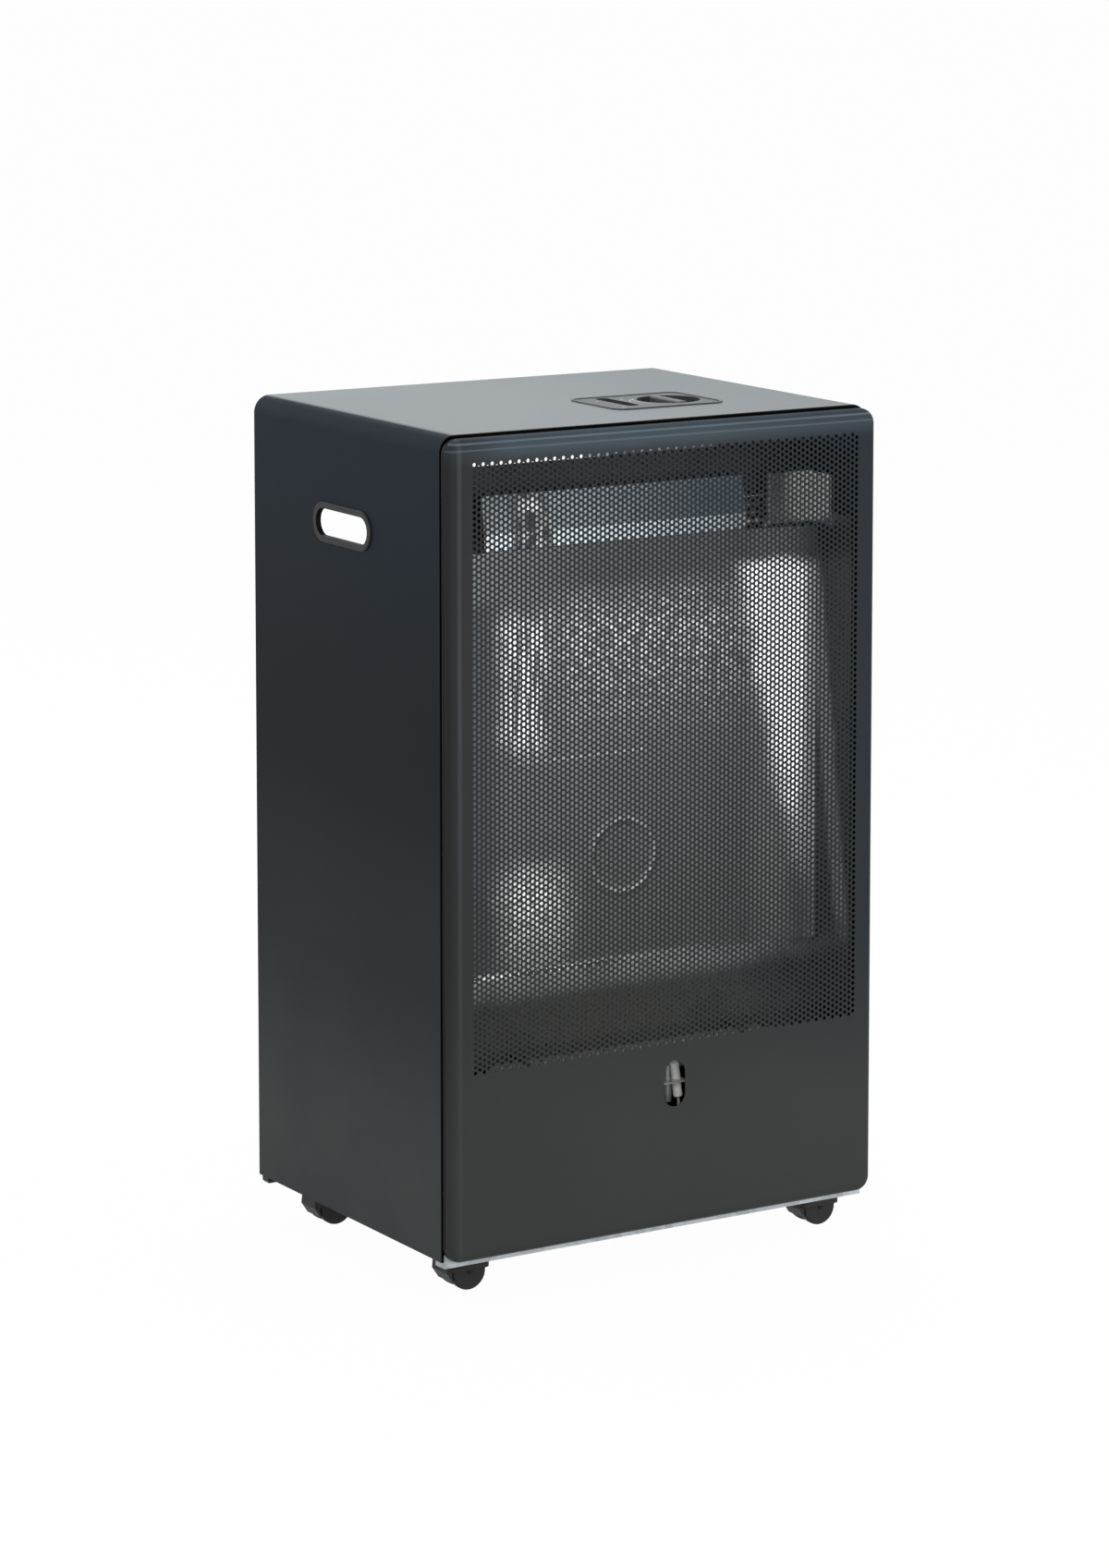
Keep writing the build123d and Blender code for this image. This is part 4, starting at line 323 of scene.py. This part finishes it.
def painted_reflections(sheet, across, height):
    """Where reflections of the lamps are painted on the back reflector, and the painted corner
    reflection on its own.
    """
    ragged = (sheet.noise(22.0, 5.0) - 0.5) * 0.05
    threads = sheet.between(sheet.grain((330, 1, 26), 2.0), 0.4, 0.56) * 0.55
    upper = sheet.patch(across + ragged * 0.4, height + ragged, *UPPER_REFLECTION) * threads
    flecks = sheet.between(sheet.noise(150.0, 3.0), 0.44, 0.56) * 0.28 + 0.03
    middle = sheet.patch(across + ragged, height + ragged, *MIDDLE_REFLECTION)
    middle = middle * flecks * sheet.between(height, 0.42, 0.55)
    mottle = sheet.between(sheet.noise(170.0, 2.0), 0.36, 0.54) * 0.45 + 0.25
    lower = sheet.patch(across + ragged * 0.5, height + ragged * 0.5, *LOWER_REFLECTION) * mottle
    slant = across + ragged * 0.6 - (CORNER_Z - height) * CORNER_SLOPE - CORNER_X
    corner = sheet.between(slant, *CORNER_EDGE)
    corner = corner * sheet.between(height + ragged * 0.3, *CORNER_TOP)
    foot = sheet.between(height, *FOOT_TOP) * sheet.between(across, *FOOT_END)
    crease = sheet.patch(across, height, *CREASE_HIGHLIGHT) * 0.22
    lamp_reflections = upper
    for other in (middle, lower, corner, foot, crease):
        lamp_reflections = sheet.sum("MAXIMUM", lamp_reflections, other)
    return lamp_reflections, corner


def reflector_sheet(name):
    """Back reflector: bright sheet with painted reflections of the lamps in smooth patches;
    elsewhere darker, most at its left and upper edges.
    """
    sheet = Finish(name)
    across, height = sheet.axis("X"), sheet.axis("Z")
    grain = sheet.grain(UPRIGHT_GRAIN)
    # Painted reflections of the lamps: bright, smooth patches.
    lamp_reflections, corner = painted_reflections(sheet, across, height)
    middle = sheet.between(height, 0.28, 0.5)
    left_edge = sheet.between(across, -0.104, -0.13) * 0.85
    upper_edge = sheet.between(height, 0.575, 0.6)
    upper_left = sheet.between(across, 0.0, -0.11) * sheet.between(height, 0.575, 0.59) * 0.6
    lower_right = sheet.between(across, 0.04, 0.19) * sheet.between(height, 0.42, 0.34) * 0.8
    # A painted highlight along the crest of the pressed ring.
    away = sheet.node("ShaderNodeVectorMath", {"operation": "DISTANCE"},
                      {0: sheet.place(), 1: (RING_X * MM, PLATE_Y * MM, RING_Z * MM)}, "Value")
    top_of_ring = RING_RADIUS * MM
    ring = sheet.stripe(away, (RING_RADIUS - RING_HALF_WIDTH) * MM, top_of_ring, top_of_ring,
                        (RING_RADIUS + RING_HALF_WIDTH) * MM)
    tone = sheet.layers(rgb(112, 113, 112), (middle, rgb(112, 118, 123)),
                        (left_edge, rgb(70, 74, 78)), (upper_edge, rgb(86, 90, 92)),
                        (upper_left, rgb(126, 130, 133)), (lower_right, rgb(126, 122, 116)),
                        ((grain - 0.5) * 0.5 + 0.12, rgb(100, 104, 108)),
                        (lamp_reflections, PAINTED_REFLECTION_COLOUR), (ring * RING_HIGHLIGHT_SHARE, RING_HIGHLIGHT_COLOUR))
    sheet.feed(base_color=tone, metallic=1.0 - corner * 0.3,
               roughness=0.3 - lamp_reflections * 0.26 + corner * 0.08 + (grain - 0.5) * 0.04,
               normal=sheet.bump(sheet.noise(14.0, 2.0), 0.0002, 0.4))
    return sheet.material


def side_sheet(name):
    """Side reflector: brownish, darker towards the top, with a painted reflection as one slanting
    streak.
    """
    sheet = Finish(name)
    depth, height = sheet.axis("Y"), sheet.axis("Z")
    ragged = (sheet.noise(40.0, 4.0) - 0.5) * 0.012
    # Painted reflection: the slanting streak is bright, smoother and hardly metallic.
    slant = depth + ragged - STREAK_Y + (STREAK_Z - height) * STREAK_SLOPE
    streak = sheet.stripe(slant, *STREAK_WIDTH) * sheet.stripe(height, *STREAK_HEIGHT)
    grain = sheet.grain(UPRIGHT_GRAIN)
    tone = sheet.layers(rgb(150, 147, 142), (sheet.between(height, 0.3, 0.5), rgb(122, 117, 111)),
                        ((grain - 0.5) * 0.5 + 0.2, rgb(84, 81, 77)), (streak, BRIGHT))
    sheet.feed(base_color=tone, metallic=1.0 - streak * 0.9, roughness=0.32 - streak * 0.14,
               normal=sheet.bump(grain, 0.0003, 0.5))
    return sheet.material


def band_sheet(name):
    """Top deflector: polished, blued by heat, dented and torn near its left end."""
    sheet = Finish(name)
    across, height = sheet.axis("X"), sheet.axis("Z")
    grain = sheet.grain(ACROSS_GRAIN)
    dent = sheet.patch(across, height, *DENT)
    torn = dent * sheet.between(sheet.grain(DENT_GRAIN, 2.0), 0.48, 0.56)
    tone = sheet.layers(rgb(196, 205, 212),
                        (sheet.between(across, *BAND_DARKENS), rgb(84, 97, 108)),
                        (sheet.between(height, *BAND_LIP) * 0.6, rgb(142, 148, 152)),
                        ((grain - 0.5) * 0.4 + 0.1, rgb(90, 100, 110)),
                        (dent * 0.6, rgb(60, 66, 70)), (torn, BRIGHT))
    sheet.feed(base_color=tone, metallic=1.0 - torn * 0.7, roughness=(grain - 0.5) * 0.05 + 0.12,
               normal=sheet.bump(sheet.noise(60.0, 0.0) * dent + grain * 0.002, 0.004, 0.8))
    return sheet.material


def fired_floor(name):
    """Chamber floor: sooted, darker and browner below its top fold, with a painted highlight along
    the fold.
    """
    sheet = Finish(name, metallic=0.7)
    soot = sheet.noise(24.0, 4.0)
    # Painted highlight along the top fold, which keeps the bright colour; below the fold it is
    # darker.
    tone = sheet.layers(rgb(190, 191, 192),
                        (sheet.between(sheet.axis("Z"), 0.25, 0.232), rgb(86, 83, 79)),
                        (sheet.between(soot, 0.45, 0.7) * 0.5, rgb(48, 46, 44)))
    sheet.feed(base_color=tone, roughness=soot * 0.2 + 0.45,
               normal=sheet.bump(soot, 0.0004, 0.5))
    return sheet.material


# ---- other finishes ------------------------------------------------------------------------
def galvanised(name):
    """Pale coated steel with soft crystal patches and scuffs."""
    zinc = Finish(name, metallic=0.35)
    crystal = zinc.node("ShaderNodeSeparateColor", None, {0: zinc.cells(95.0, "Color")})
    grain = zinc.noise(700.0, 3.0)
    tone = zinc.layers(rgb(146, 152, 156), (crystal * 0.7, rgb(182, 187, 190)),
                       (zinc.between(zinc.noise(60.0, 4.0), 0.58, 0.72) * 0.4, rgb(108, 113, 117)))
    zinc.feed(base_color=tone, roughness=crystal * 0.15 + grain * 0.1 + 0.33,
              normal=zinc.bump(grain + crystal * 0.3, 0.00015, 0.5))
    return zinc.material


def moulded(name, colour, worn, roughness, grain=1100.0, depth=0.00012):
    """Moulded plastic: a fine spark-eroded grain, slightly paler where it is rubbed."""
    plastic = Finish(name, specular_ior_level=0.3)
    texture = plastic.cells(grain)
    cloud = plastic.noise(35.0, 4.0)
    tone = plastic.layers(colour, (plastic.between(cloud, 0.45, 0.75) * 0.5, worn),
                          (plastic.between(texture, 0.1, 0.7) * 0.3, worn))
    plastic.feed(base_color=tone,
                 roughness=(cloud - 0.5) * 0.16 + texture * 0.1 + (roughness - 0.04),
                 normal=plastic.bump(texture + plastic.noise(grain * 0.6, 2.0) * 0.5, depth, 0.6))
    return plastic.material


def turned(name, colour, dull, roughness):
    """Turned or plated metal with fine rings along its length and a little tarnish."""
    metal = Finish(name, metallic=1.0)
    rings = metal.grain((520, 520, 2600))
    tarnish = metal.noise(120.0, 4.0)
    tone = metal.blend(metal.between(tarnish, 0.42, 0.72) * 0.6, colour, dull)
    metal.feed(base_color=tone, roughness=tarnish * 0.2 + rings * 0.08 + (roughness - 0.1),
               normal=metal.bump(rings, 0.00008, 0.5))
    return metal.material


def glazed(name):
    """White ceramic with faint speckle and a soot shade."""
    ceramic = Finish(name, coat_weight=0.4, coat_roughness=0.1)
    speck = ceramic.noise(1500.0, 2.0)
    soot = ceramic.noise(180.0, 4.0)
    tone = ceramic.layers(rgb(250, 249, 245),
                          (ceramic.between(soot, 0.55, 0.8) * 0.35, rgb(188, 184, 176)),
                          (ceramic.between(speck, 0.66, 0.75) * 0.3, rgb(150, 146, 138)))
    ceramic.feed(base_color=tone, roughness=soot * 0.15 + 0.22,
                 normal=ceramic.bump(speck, 0.00006, 0.5))
    return ceramic.material


def printed(name, colour):
    """Screen-printed ink: slightly uneven, worn thin in places."""
    ink = Finish(name)
    wear = ink.noise(900.0, 3.0)
    tone = ink.blend(ink.between(wear, 0.5, 0.8) * 0.4, colour, shade(colour, 0.6))
    ink.feed(base_color=tone, roughness=wear * 0.2 + 0.4, normal=ink.bump(wear, 0.00003, 0.5))
    return ink.material


# Finishes by slot, for the nodes that have none of their own.
FINISHES = {
    "cabinet_paint": powder_coat("cabinet paint", CABINET_TONES, CABINET_GAP_SHADE, top=True),
    "panel_paint": powder_coat("panel paint", PANEL_TONES, PANEL_GAP_SHADE, front=True),
    "tray_steel": galvanised("tray steel"),
    "bright_steel": rolled_steel("bright steel", rgb(222, 222, 219), rgb(176, 172, 166), 0.2),
    "dull_steel": rolled_steel("dull steel", rgb(150, 152, 154), rgb(120, 120, 118), 0.3),
    "black_plastic": moulded("black plastic", rgb(11, 12, 13), rgb(24, 25, 27), 0.5),
    "grey_plastic": moulded("grey plastic", rgb(78, 80, 82), rgb(108, 110, 112), 0.4),
    "screw_zinc": turned("zinc plate", rgb(198, 200, 200), rgb(150, 150, 146), 0.3),
    "black_pin": turned("black oxide", rgb(38, 38, 38), rgb(24, 24, 25), 0.45),
    "brass": turned("brass", rgb(206, 178, 112), rgb(150, 122, 70), 0.3),
    "cast_valve": rolled_steel("cast aluminium", rgb(176, 178, 180), rgb(140, 140, 140), 0.5,
                               (500, 500, 500)),
    "lead_rubber": moulded("silicone sleeve", rgb(222, 220, 212), rgb(196, 192, 184), 0.5, 900.0),
}
PROBE_GRAIN = (600, 600, 30)
ENDS, SIDES = ("front", "rear"), ("left", "right")
# Finishes by node.
OWN_FINISHES = {
    "rear_cover": powder_coat("cover paint", COVER_TONES),
    # The bulkhead: dark grey steel.
    "bulkhead": rolled_steel("dark grey wall", rgb(56, 60, 64), rgb(40, 42, 44), 0.5),
    "heat_shield": rolled_steel("sooted shield", rgb(66, 70, 74), rgb(44, 46, 48), 0.5),
    "reflector_back": reflector_sheet("back reflector"),
    "reflector_right": side_sheet("side reflector"),
    "reflector_left": side_sheet("side reflector, left"),
    "top_deflector": band_sheet("top deflector"),
    "corner_guides": rolled_steel("browned guide", rgb(206, 204, 200), rgb(140, 137, 132), 0.28,
                                  (900, 900, 14)),
    "burner_tube": rolled_steel("burner steel", rgb(250, 250, 249), rgb(216, 214, 208), 0.24,
                                metallic=0.5),
    "chamber_floor": fired_floor("chamber floor"),
    "control_panel": moulded("control face", rgb(60, 62, 63), rgb(76, 78, 79), 0.36,
                             1500.0, 0.00006),
    **{f"caster_hood_{end}_{side}": moulded(f"caster hood {end} {side}", rgb(10, 9, 9),
                                            rgb(30, 27, 24), 0.55)
       for end in ENDS for side in SIDES},
    **{f"caster_wheels_{end}_{side}": moulded(f"caster tyre {end} {side}", rgb(12, 12, 12),
                                              rgb(27, 25, 23), 0.6)
       for end in ENDS for side in SIDES},
    "spark_electrode": glazed("electrode ceramic"),
    "thermocouple": rolled_steel("probe steel", rgb(206, 206, 203), rgb(150, 148, 144), 0.4,
                                 PROBE_GRAIN, 0.35),
    "pilot_burner": rolled_steel("pilot steel", rgb(168, 168, 166), rgb(120, 118, 115), 0.45,
                                 PROBE_GRAIN, 0.4),
    "pilot_bracket": rolled_steel("pilot bracket steel", rgb(206, 206, 204), rgb(160, 159, 156),
                                  0.4, metallic=0.3),
    "electrode_pin": rolled_steel("terminal", rgb(226, 226, 223), rgb(190, 189, 185), 0.4,
                                  metallic=0.2),
}


def dress_nodes():
    """Every carried-over node gets its slot's finish, or one of its own."""
    slots = {part["node"]: part["material_slot"] for part in frame["record"]["subparts"]}
    for name, thing in nodes.items():
        thing.data.materials.clear()
        thing.data.materials.append(OWN_FINISHES.get(name) or FINISHES[slots[name]])


# ---- making meshes -------------------------------------------------------------------------
class Shape:
    """The points and faces of one piece as it grows."""

    def __init__(self):
        self.points, self.faces = [], []

    def put(self, points):
        """Add points; returns their numbers."""
        first = len(self.points)
        self.points.extend(points)
        return list(range(first, len(self.points)))

    def strip(self, one, two):
        """Faces between two closed rings of as many points each."""
        for i in range(len(one)):
            j = (i + 1) % len(one)
            self.faces.append((one[i], one[j], two[j], two[i]))

    def fill(self, *loops):
        """Faces of a flat upright sheet: inside the first loop and outside the others."""
        flat = [[Vector((self.points[i][0], self.points[i][2], 0)) for i in loop]
                for loop in loops]
        order = [i for loop in loops for i in loop]
        for triangle in tessellate_polygon(flat):
            self.faces.append(tuple(order[i] for i in triangle))


def add_piece(name, shape, body, slot, replaces=(), finish=None, smooth=30):
    """A shape as a piece that rides on a body; edges sharper than smooth degrees stay sharp."""
    mesh = bpy.data.meshes.new(name)
    mesh.from_pydata([(x * MM, y * MM, z * MM) for x, y, z in shape.points], [], shape.faces)
    mesh.validate()
    outward = bmesh.new()
    outward.from_mesh(mesh)
    bmesh.ops.recalc_face_normals(outward, faces=outward.faces)
    outward.to_mesh(mesh)
    outward.free()
    piece = bpy.data.objects.new(name, mesh)
    bpy.context.scene.collection.objects.link(piece)
    mesh.materials.append(finish or FINISHES[slot])
    mesh.shade_smooth()
    mesh.set_sharp_from_angle(angle=math.radians(smooth))
    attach(piece, body)
    if replaces:
        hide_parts(*replaces)
    return piece


# ---- front panel ---------------------------------------------------------------------------
PANEL_HALF = 214.0
PANEL_BOTTOM, PANEL_TOP = 41.0, 737.5
PANEL_FACE, PANEL_BACK = -176.0, -162.5
PANEL_CORNER, PANEL_EDGE, PANEL_LIP, SHEET = 13.0, 8.0, 14.0, 0.8
LEAST_CORNER = 1.5
LIP_ROUND, LIP_ROUND_MIDDLE = 1.2, 0.35     # how far the lip's outer corner is rounded off
HOLE_RADIUS, HOLE_SIDES = 1.7, 12
COLUMNS, COLUMN_STEP, FIRST_COLUMN_X = 90, 4.295, -189.82
ROWS, ROW_STEP, FIRST_ROW_Z = 104, 4.978, 203.32
SLOT_X, SLOT_Z, SLOT_WIDTH, SLOT_HEIGHT = 7.4, 166.7, 21.5, 40.3
CORNER_STEPS, EDGE_STEPS, SLOT_STEPS = 8, 6, 14


def arc(x, y, z, radius, start, sweep, steps):
    """Points along an upright arc, both ends with it; start and sweep in degrees."""
    turns = [math.radians(start + sweep * step / steps) for step in range(steps + 1)]
    return [(x + radius * math.cos(turn), y, z + radius * math.sin(turn)) for turn in turns]


def rounded_loop(inset, y):
    """A ring of points round the panel, inset from its outline, at one depth."""
    radius = max(PANEL_CORNER - inset, LEAST_CORNER)
    side = PANEL_HALF - inset - radius
    low, high = PANEL_BOTTOM + inset + radius, PANEL_TOP - inset - radius
    ring = []
    for x, z, start in ((side, high, 0), (-side, high, 90), (-side, low, 180), (side, low, 270)):
        ring += arc(x, y, z, radius, start, 90, CORNER_STEPS)
    return ring


def slot_loop(y):
    """A ring of points round the inspection slot at one depth."""
    reach = (SLOT_HEIGHT - SLOT_WIDTH) / 2
    return [point for middle, start in ((reach, 0), (-reach, 180))
            for point in arc(SLOT_X, y, SLOT_Z + middle, SLOT_WIDTH / 2, start, 180, SLOT_STEPS)]


def panel_section():
    """Inset and depth from the face round the edge to the end of the lip, outside and inside."""
    outer, inner = [], []
    inside = PANEL_EDGE - SHEET
    for step in range(EDGE_STEPS + 1):
        turn = math.radians(90 * step / EDGE_STEPS)
        short, deep = 1 - math.sin(turn), 1 - math.cos(turn)
        outer.append((PANEL_EDGE * short, PANEL_FACE + PANEL_EDGE * deep))
        inner.append((SHEET + inside * short, PANEL_FACE + SHEET + inside * deep))
    outer += [(0, PANEL_BACK - LIP_ROUND), (LIP_ROUND_MIDDLE, PANEL_BACK - LIP_ROUND_MIDDLE),
              (LIP_ROUND, PANEL_BACK), (PANEL_LIP, PANEL_BACK)]
    inner += [(SHEET, PANEL_BACK - SHEET), (PANEL_LIP, PANEL_BACK - SHEET)]
    return outer, inner


def field_outline():
    """Corners round the field of holes, as line and half row; odd columns are a row shorter."""
    top, last = 2 * ROWS, (COLUMNS - 1) % 2
    walk = [(0, half_row) for half_row in range(top + 1)]
    for column in range(COLUMNS):
        walk += [(column, top - column % 2), (column + 1, top - column % 2)]
    walk += [(COLUMNS, half_row) for half_row in range(top - last, last - 1, -1)]
    for column in reversed(range(COLUMNS)):
        walk += [(column + 1, column % 2), (column, column % 2)]
    return list(dict.fromkeys(walk))


def punched_field(panel, y):
    """The staggered holes at one depth; returns their rims and the ring round them all.

    Each hole has a cell of its own, from one line to the next across and two half rows high.
    Two faces fill the cell, over and under the hole. Cells share their corners.
    """
    corners = {}

    def corner(line, half_row):
        if (line, half_row) not in corners:
            x = FIRST_COLUMN_X + (line - 0.5) * COLUMN_STEP
            z = FIRST_ROW_Z + (half_row - 1) * ROW_STEP / 2
            corners[line, half_row], = panel.put([(x, y, z)])
        return corners[line, half_row]

    rims = []
    for column in range(COLUMNS):
        x = FIRST_COLUMN_X + column * COLUMN_STEP
        shift = column % 2
        for row in range(ROWS - shift):
            middle = 2 * row + 1 + shift
            z = FIRST_ROW_Z + (middle - 1) * ROW_STEP / 2
            rim = panel.put(arc(x, y, z, HOLE_RADIUS, 0, 360, HOLE_SIDES)[:-1])
            rims.append(rim)
            over, under = rim[:HOLE_SIDES // 2 + 1], rim[HOLE_SIDES // 2:] + rim[:1]
            right, left = corner(column + 1, middle), corner(column, middle)
            above = [corner(column + 1, middle + 1), corner(column, middle + 1)]
            below = [corner(column + 1, middle - 1), corner(column, middle - 1)]
            panel.faces.append((right, *above, left, *over[::-1]))
            panel.faces.append((left, *below[::-1], right, *under[::-1]))
    return rims, [corner(*where) for where in field_outline()]


def make_front_panel():
    """Pressed panel with its whole field of staggered punched holes."""
    panel = Shape()
    sides = []
    for y, section in zip((PANEL_FACE, PANEL_FACE + SHEET), panel_section()):
        rims, field = punched_field(panel, y)
        edge = panel.put(rounded_loop(section[0][0], y))
        slot = panel.put(slot_loop(y))
        panel.fill(edge, field, slot)
        rings = [edge] + [panel.put(rounded_loop(inset, depth)) for inset, depth in section[1:]]
        for one, two in zip(rings, rings[1:]):
            panel.strip(one, two)
        sides.append(rims + [slot, rings[-1]])
    for outside, inside in zip(*sides):
        panel.strip(outside, inside)
    add_piece("punched_front", panel, "cabinet", "panel_paint", ["front_panel"])


# ---- back reflector ------------------------------------------------------------------------
PLATE_HALF, PLATE_LOW, PLATE_HIGH = 202.0, 256.0, 626.0
PLATE_SHEET = 0.8
ROLL_START, ROLL_RADIUS = 135.0, 170.0
RING_RISE, RING_ROUND = 0.8, 2.4
SWELL, SWELL_X, SWELL_Z, SWELL_START = 0.07, 47.0, 61.0, 0.6
STEP_X, STEP_Z, RING_STEP = 6.0, 7.0, 1.2
RING_REACH = 40


def plate_face(x, z):
    """Depth of the back reflector's face: rolled forward at its sides, with a pressed ring."""
    rolled = max(abs(x) - ROLL_START, 0) ** 2 / (2 * ROLL_RADIUS)
    swell = SWELL * math.sin(x / SWELL_X + SWELL_START) * math.sin(z / SWELL_Z)
    away = (math.hypot(x - RING_X, z - RING_Z) - RING_RADIUS) / RING_ROUND
    return PLATE_Y - rolled - swell - RING_RISE * math.exp(-away * away)


def steps_between(low, high, coarse, ring):
    """Places along one side of the plate, closer together where the ring is."""
    places, at = [], low
    while at < high - 1e-6:
        places.append(at)
        at += RING_STEP if ring - RING_REACH <= at <= ring + RING_REACH else coarse
    return places + [high]


def make_back_reflector():
    xs = steps_between(-PLATE_HALF, PLATE_HALF, STEP_X, RING_X)
    zs = steps_between(PLATE_LOW, PLATE_HIGH, STEP_Z, RING_Z)
    plate = Shape()
    front = plate.put([(x, plate_face(x, z), z) for z in zs for x in xs])
    back = plate.put([(x, y + PLATE_SHEET, z) for x, y, z in plate.points])
    wide, tall = len(xs), len(zs)
    for row in range(tall - 1):
        for i in range(row * wide, row * wide + wide - 1):
            plate.faces.append((front[i], front[i + 1], front[i + wide + 1], front[i + wide]))
            plate.faces.append((back[i], back[i + wide], back[i + wide + 1], back[i + 1]))
    rim = (list(range(wide)) + [row * wide + wide - 1 for row in range(1, tall)]
           + [wide * tall - 1 - i for i in range(1, wide)]
           + [row * wide for row in range(tall - 2, 0, -1)])
    plate.strip([back[i] for i in rim], [front[i] for i in rim])
    add_piece("rolled_reflector", plate, "cabinet", "dull_steel", ["reflector_back"],
              OWN_FINISHES["reflector_back"], smooth=40)


# ---- marks on the controls -----------------------------------------------------------------
KNOB_X, KNOB_Y = 82.0, -45.5
FACE_Z = 740.2
MARK_LIFT, MARK_WIDTH, MARK_STEPS = 0.06, 0.7, 24
# Lines round the knob: from and to in degrees, and the radius at each of them.
KNOB_MARKS = ((145, 208, 30.5, 44.5), (145, 212, 30.5, 33.5))
DOT_SIDES = 12
FACE_DOTS = ((18.5, -30.0, 1.3), (46.5, -24.5, 1.3), (18.9, -73.2, 1.6))    # x, y, radius
INK = rgb(214, 216, 216)


def around(x, y, radius, degrees):
    turn = math.radians(degrees)
    return x + radius * math.cos(turn), y + radius * math.sin(turn)


def make_control_marks():
    """Printed marks: a wedge that grows round the knob, and plain dots.

    Their slot is the record's nearest to white ink, ceramic.
    """
    marks = Shape()

    def slab(outline):
        top = marks.put([(x, y, FACE_Z + MARK_LIFT) for x, y in outline])
        foot = marks.put([(x, y, FACE_Z) for x, y in outline])
        marks.faces += [tuple(top), tuple(foot[::-1])]
        marks.strip(foot, top)

    for start, end, first_radius, last_radius in KNOB_MARKS:
        line = []
        for step in range(MARK_STEPS + 1):
            share = step / MARK_STEPS
            line.append((start + (end - start) * share,
                         first_radius + (last_radius - first_radius) * share))
        for (turn, radius), (next_turn, next_radius) in zip(line, line[1:]):
            slab([around(KNOB_X, KNOB_Y, radius, turn),
                  around(KNOB_X, KNOB_Y, radius + MARK_WIDTH, turn),
                  around(KNOB_X, KNOB_Y, next_radius + MARK_WIDTH, next_turn),
                  around(KNOB_X, KNOB_Y, next_radius, next_turn)])
    for x, y, radius in FACE_DOTS:
        slab([around(x, y, radius, 360 * side / DOT_SIDES) for side in range(DOT_SIDES)])
    add_piece("control_marks", marks, "cabinet", "ceramic", (), printed("white ink", INK))


# ---- studio --------------------------------------------------------------------------------
FLOOR_HALF = 60
# How much of plain white the floor shows to rays from the camera, mirrored and refracted ones.
FLOOR_SEEN = (("Is Camera Ray", 0.975), ("Is Glossy Ray", 0.9), ("Is Transmission Ray", 0.9))
WHITE = (1, 1, 1, 1)
SKY_COLOUR, SKY_STRENGTH = (0.93, 0.96, 1.0, 1), 0.55
# What such rays see of the sky instead of its own colour.
SKY_SEEN = (("Is Glossy Ray", (0.92, 0.975, 1.0, 1)), ("Is Transmission Ray", WHITE),
            ("Is Camera Ray", WHITE))
# Lamps: name, place, what they point at, width in metres and power in watts.
LAMPS = (
    ("key light", (-2.2, -3.0, 2.6), (0, 0, 0.4), 1.6, 38),
    ("front light", (-1.5, -2.5, 0.5), (0, 0, 0.45), 0.8, 10),
    ("low light", (1.6, -2.1, 0.35), (0, 0, 0.45), 1.4, 8),
    ("middle light", (0.46, -1.2, 0.36), (0.15, 0, 0.45), 0.7, 5.5),
    ("fill light", (3.2, -2.0, 1.6), (0, 0, 0.4), 2.0, 14),
    ("rear light", (-0.8, 3.6, 1.2), (0, 0, 0.4), 2.0, 16),
    ("top light", (0.3, 1.4, 3.2), (0, 0, 0.7), 2.4, 40),
)


def make_floor():
    """Matt white paper that shows as plain white but still takes the heater's shadow."""
    mesh = bpy.data.meshes.new("floor")
    square = [(-FLOOR_HALF, -FLOOR_HALF, 0), (FLOOR_HALF, -FLOOR_HALF, 0),
              (FLOOR_HALF, FLOOR_HALF, 0), (-FLOOR_HALF, FLOOR_HALF, 0)]
    mesh.from_pydata(square, [], [(0, 1, 2, 3)])
    floor = bpy.data.objects.new("floor", mesh)
    bpy.context.scene.collection.objects.link(floor)
    paper = Finish("floor paper", roughness=0.9, specular_ior_level=0.1)
    paper.feed(base_color=paper.blend(paper.noise(30.0, 3.0), rgb(236, 236, 236),
                                      rgb(242, 242, 242)))
    camera, mirrored, refracted = (paper.node("ShaderNodeLightPath", output=ray) * share
                                   for ray, share in FLOOR_SEEN)
    seen = camera + mirrored + refracted
    glow = paper.node("ShaderNodeEmission", None, {"Color": WHITE, "Strength": 1.0})
    mixed = paper.node("ShaderNodeMixShader", None,
                       {0: seen, 1: Flow(paper, paper.shader.outputs[0]), 2: glow})
    paper.plug(mixed, paper.tree.nodes["Material Output"].inputs["Surface"])
    mesh.materials.append(paper.material)


def make_sky():
    """A soft even light from all round, seen as white."""
    world = bpy.data.worlds.new("studio")
    world.use_nodes = True
    bpy.context.scene.world = world
    tree = world.node_tree
    soft = tree.nodes["Background"]
    soft.inputs["Color"].default_value = SKY_COLOUR
    soft.inputs["Strength"].default_value = SKY_STRENGTH
    path = tree.nodes.new("ShaderNodeLightPath").outputs
    last = soft.outputs[0]
    for ray, colour in SKY_SEEN:
        white = tree.nodes.new("ShaderNodeBackground")
        white.inputs["Color"].default_value = colour
        white.inputs["Strength"].default_value = 1.0
        mix = tree.nodes.new("ShaderNodeMixShader")
        for socket, into in zip((path[ray], last, white.outputs[0]), mix.inputs):
            tree.links.new(socket, into)
        last = mix.outputs[0]
    tree.links.new(last, tree.nodes["World Output"].inputs["Surface"])


def make_lamps():
    for name, place, aim, size, power in LAMPS:
        lamp = bpy.data.lights.new(name, "AREA")
        lamp.shape, lamp.size, lamp.energy = "DISK", size, power
        thing = bpy.data.objects.new(name, lamp)
        thing.location = place
        towards = Vector(aim) - Vector(place)
        thing.rotation_euler = towards.to_track_quat("-Z", "Y").to_euler()
        thing.visible_camera = False
        bpy.context.scene.collection.objects.link(thing)


# ---- everything ----------------------------------------------------------------------------
bpy.context.scene.view_settings.view_transform = "Standard"
make_camera()
make_floor()
make_sky()
make_lamps()
dress_nodes()
make_front_panel()
make_back_reflector()
make_control_marks()
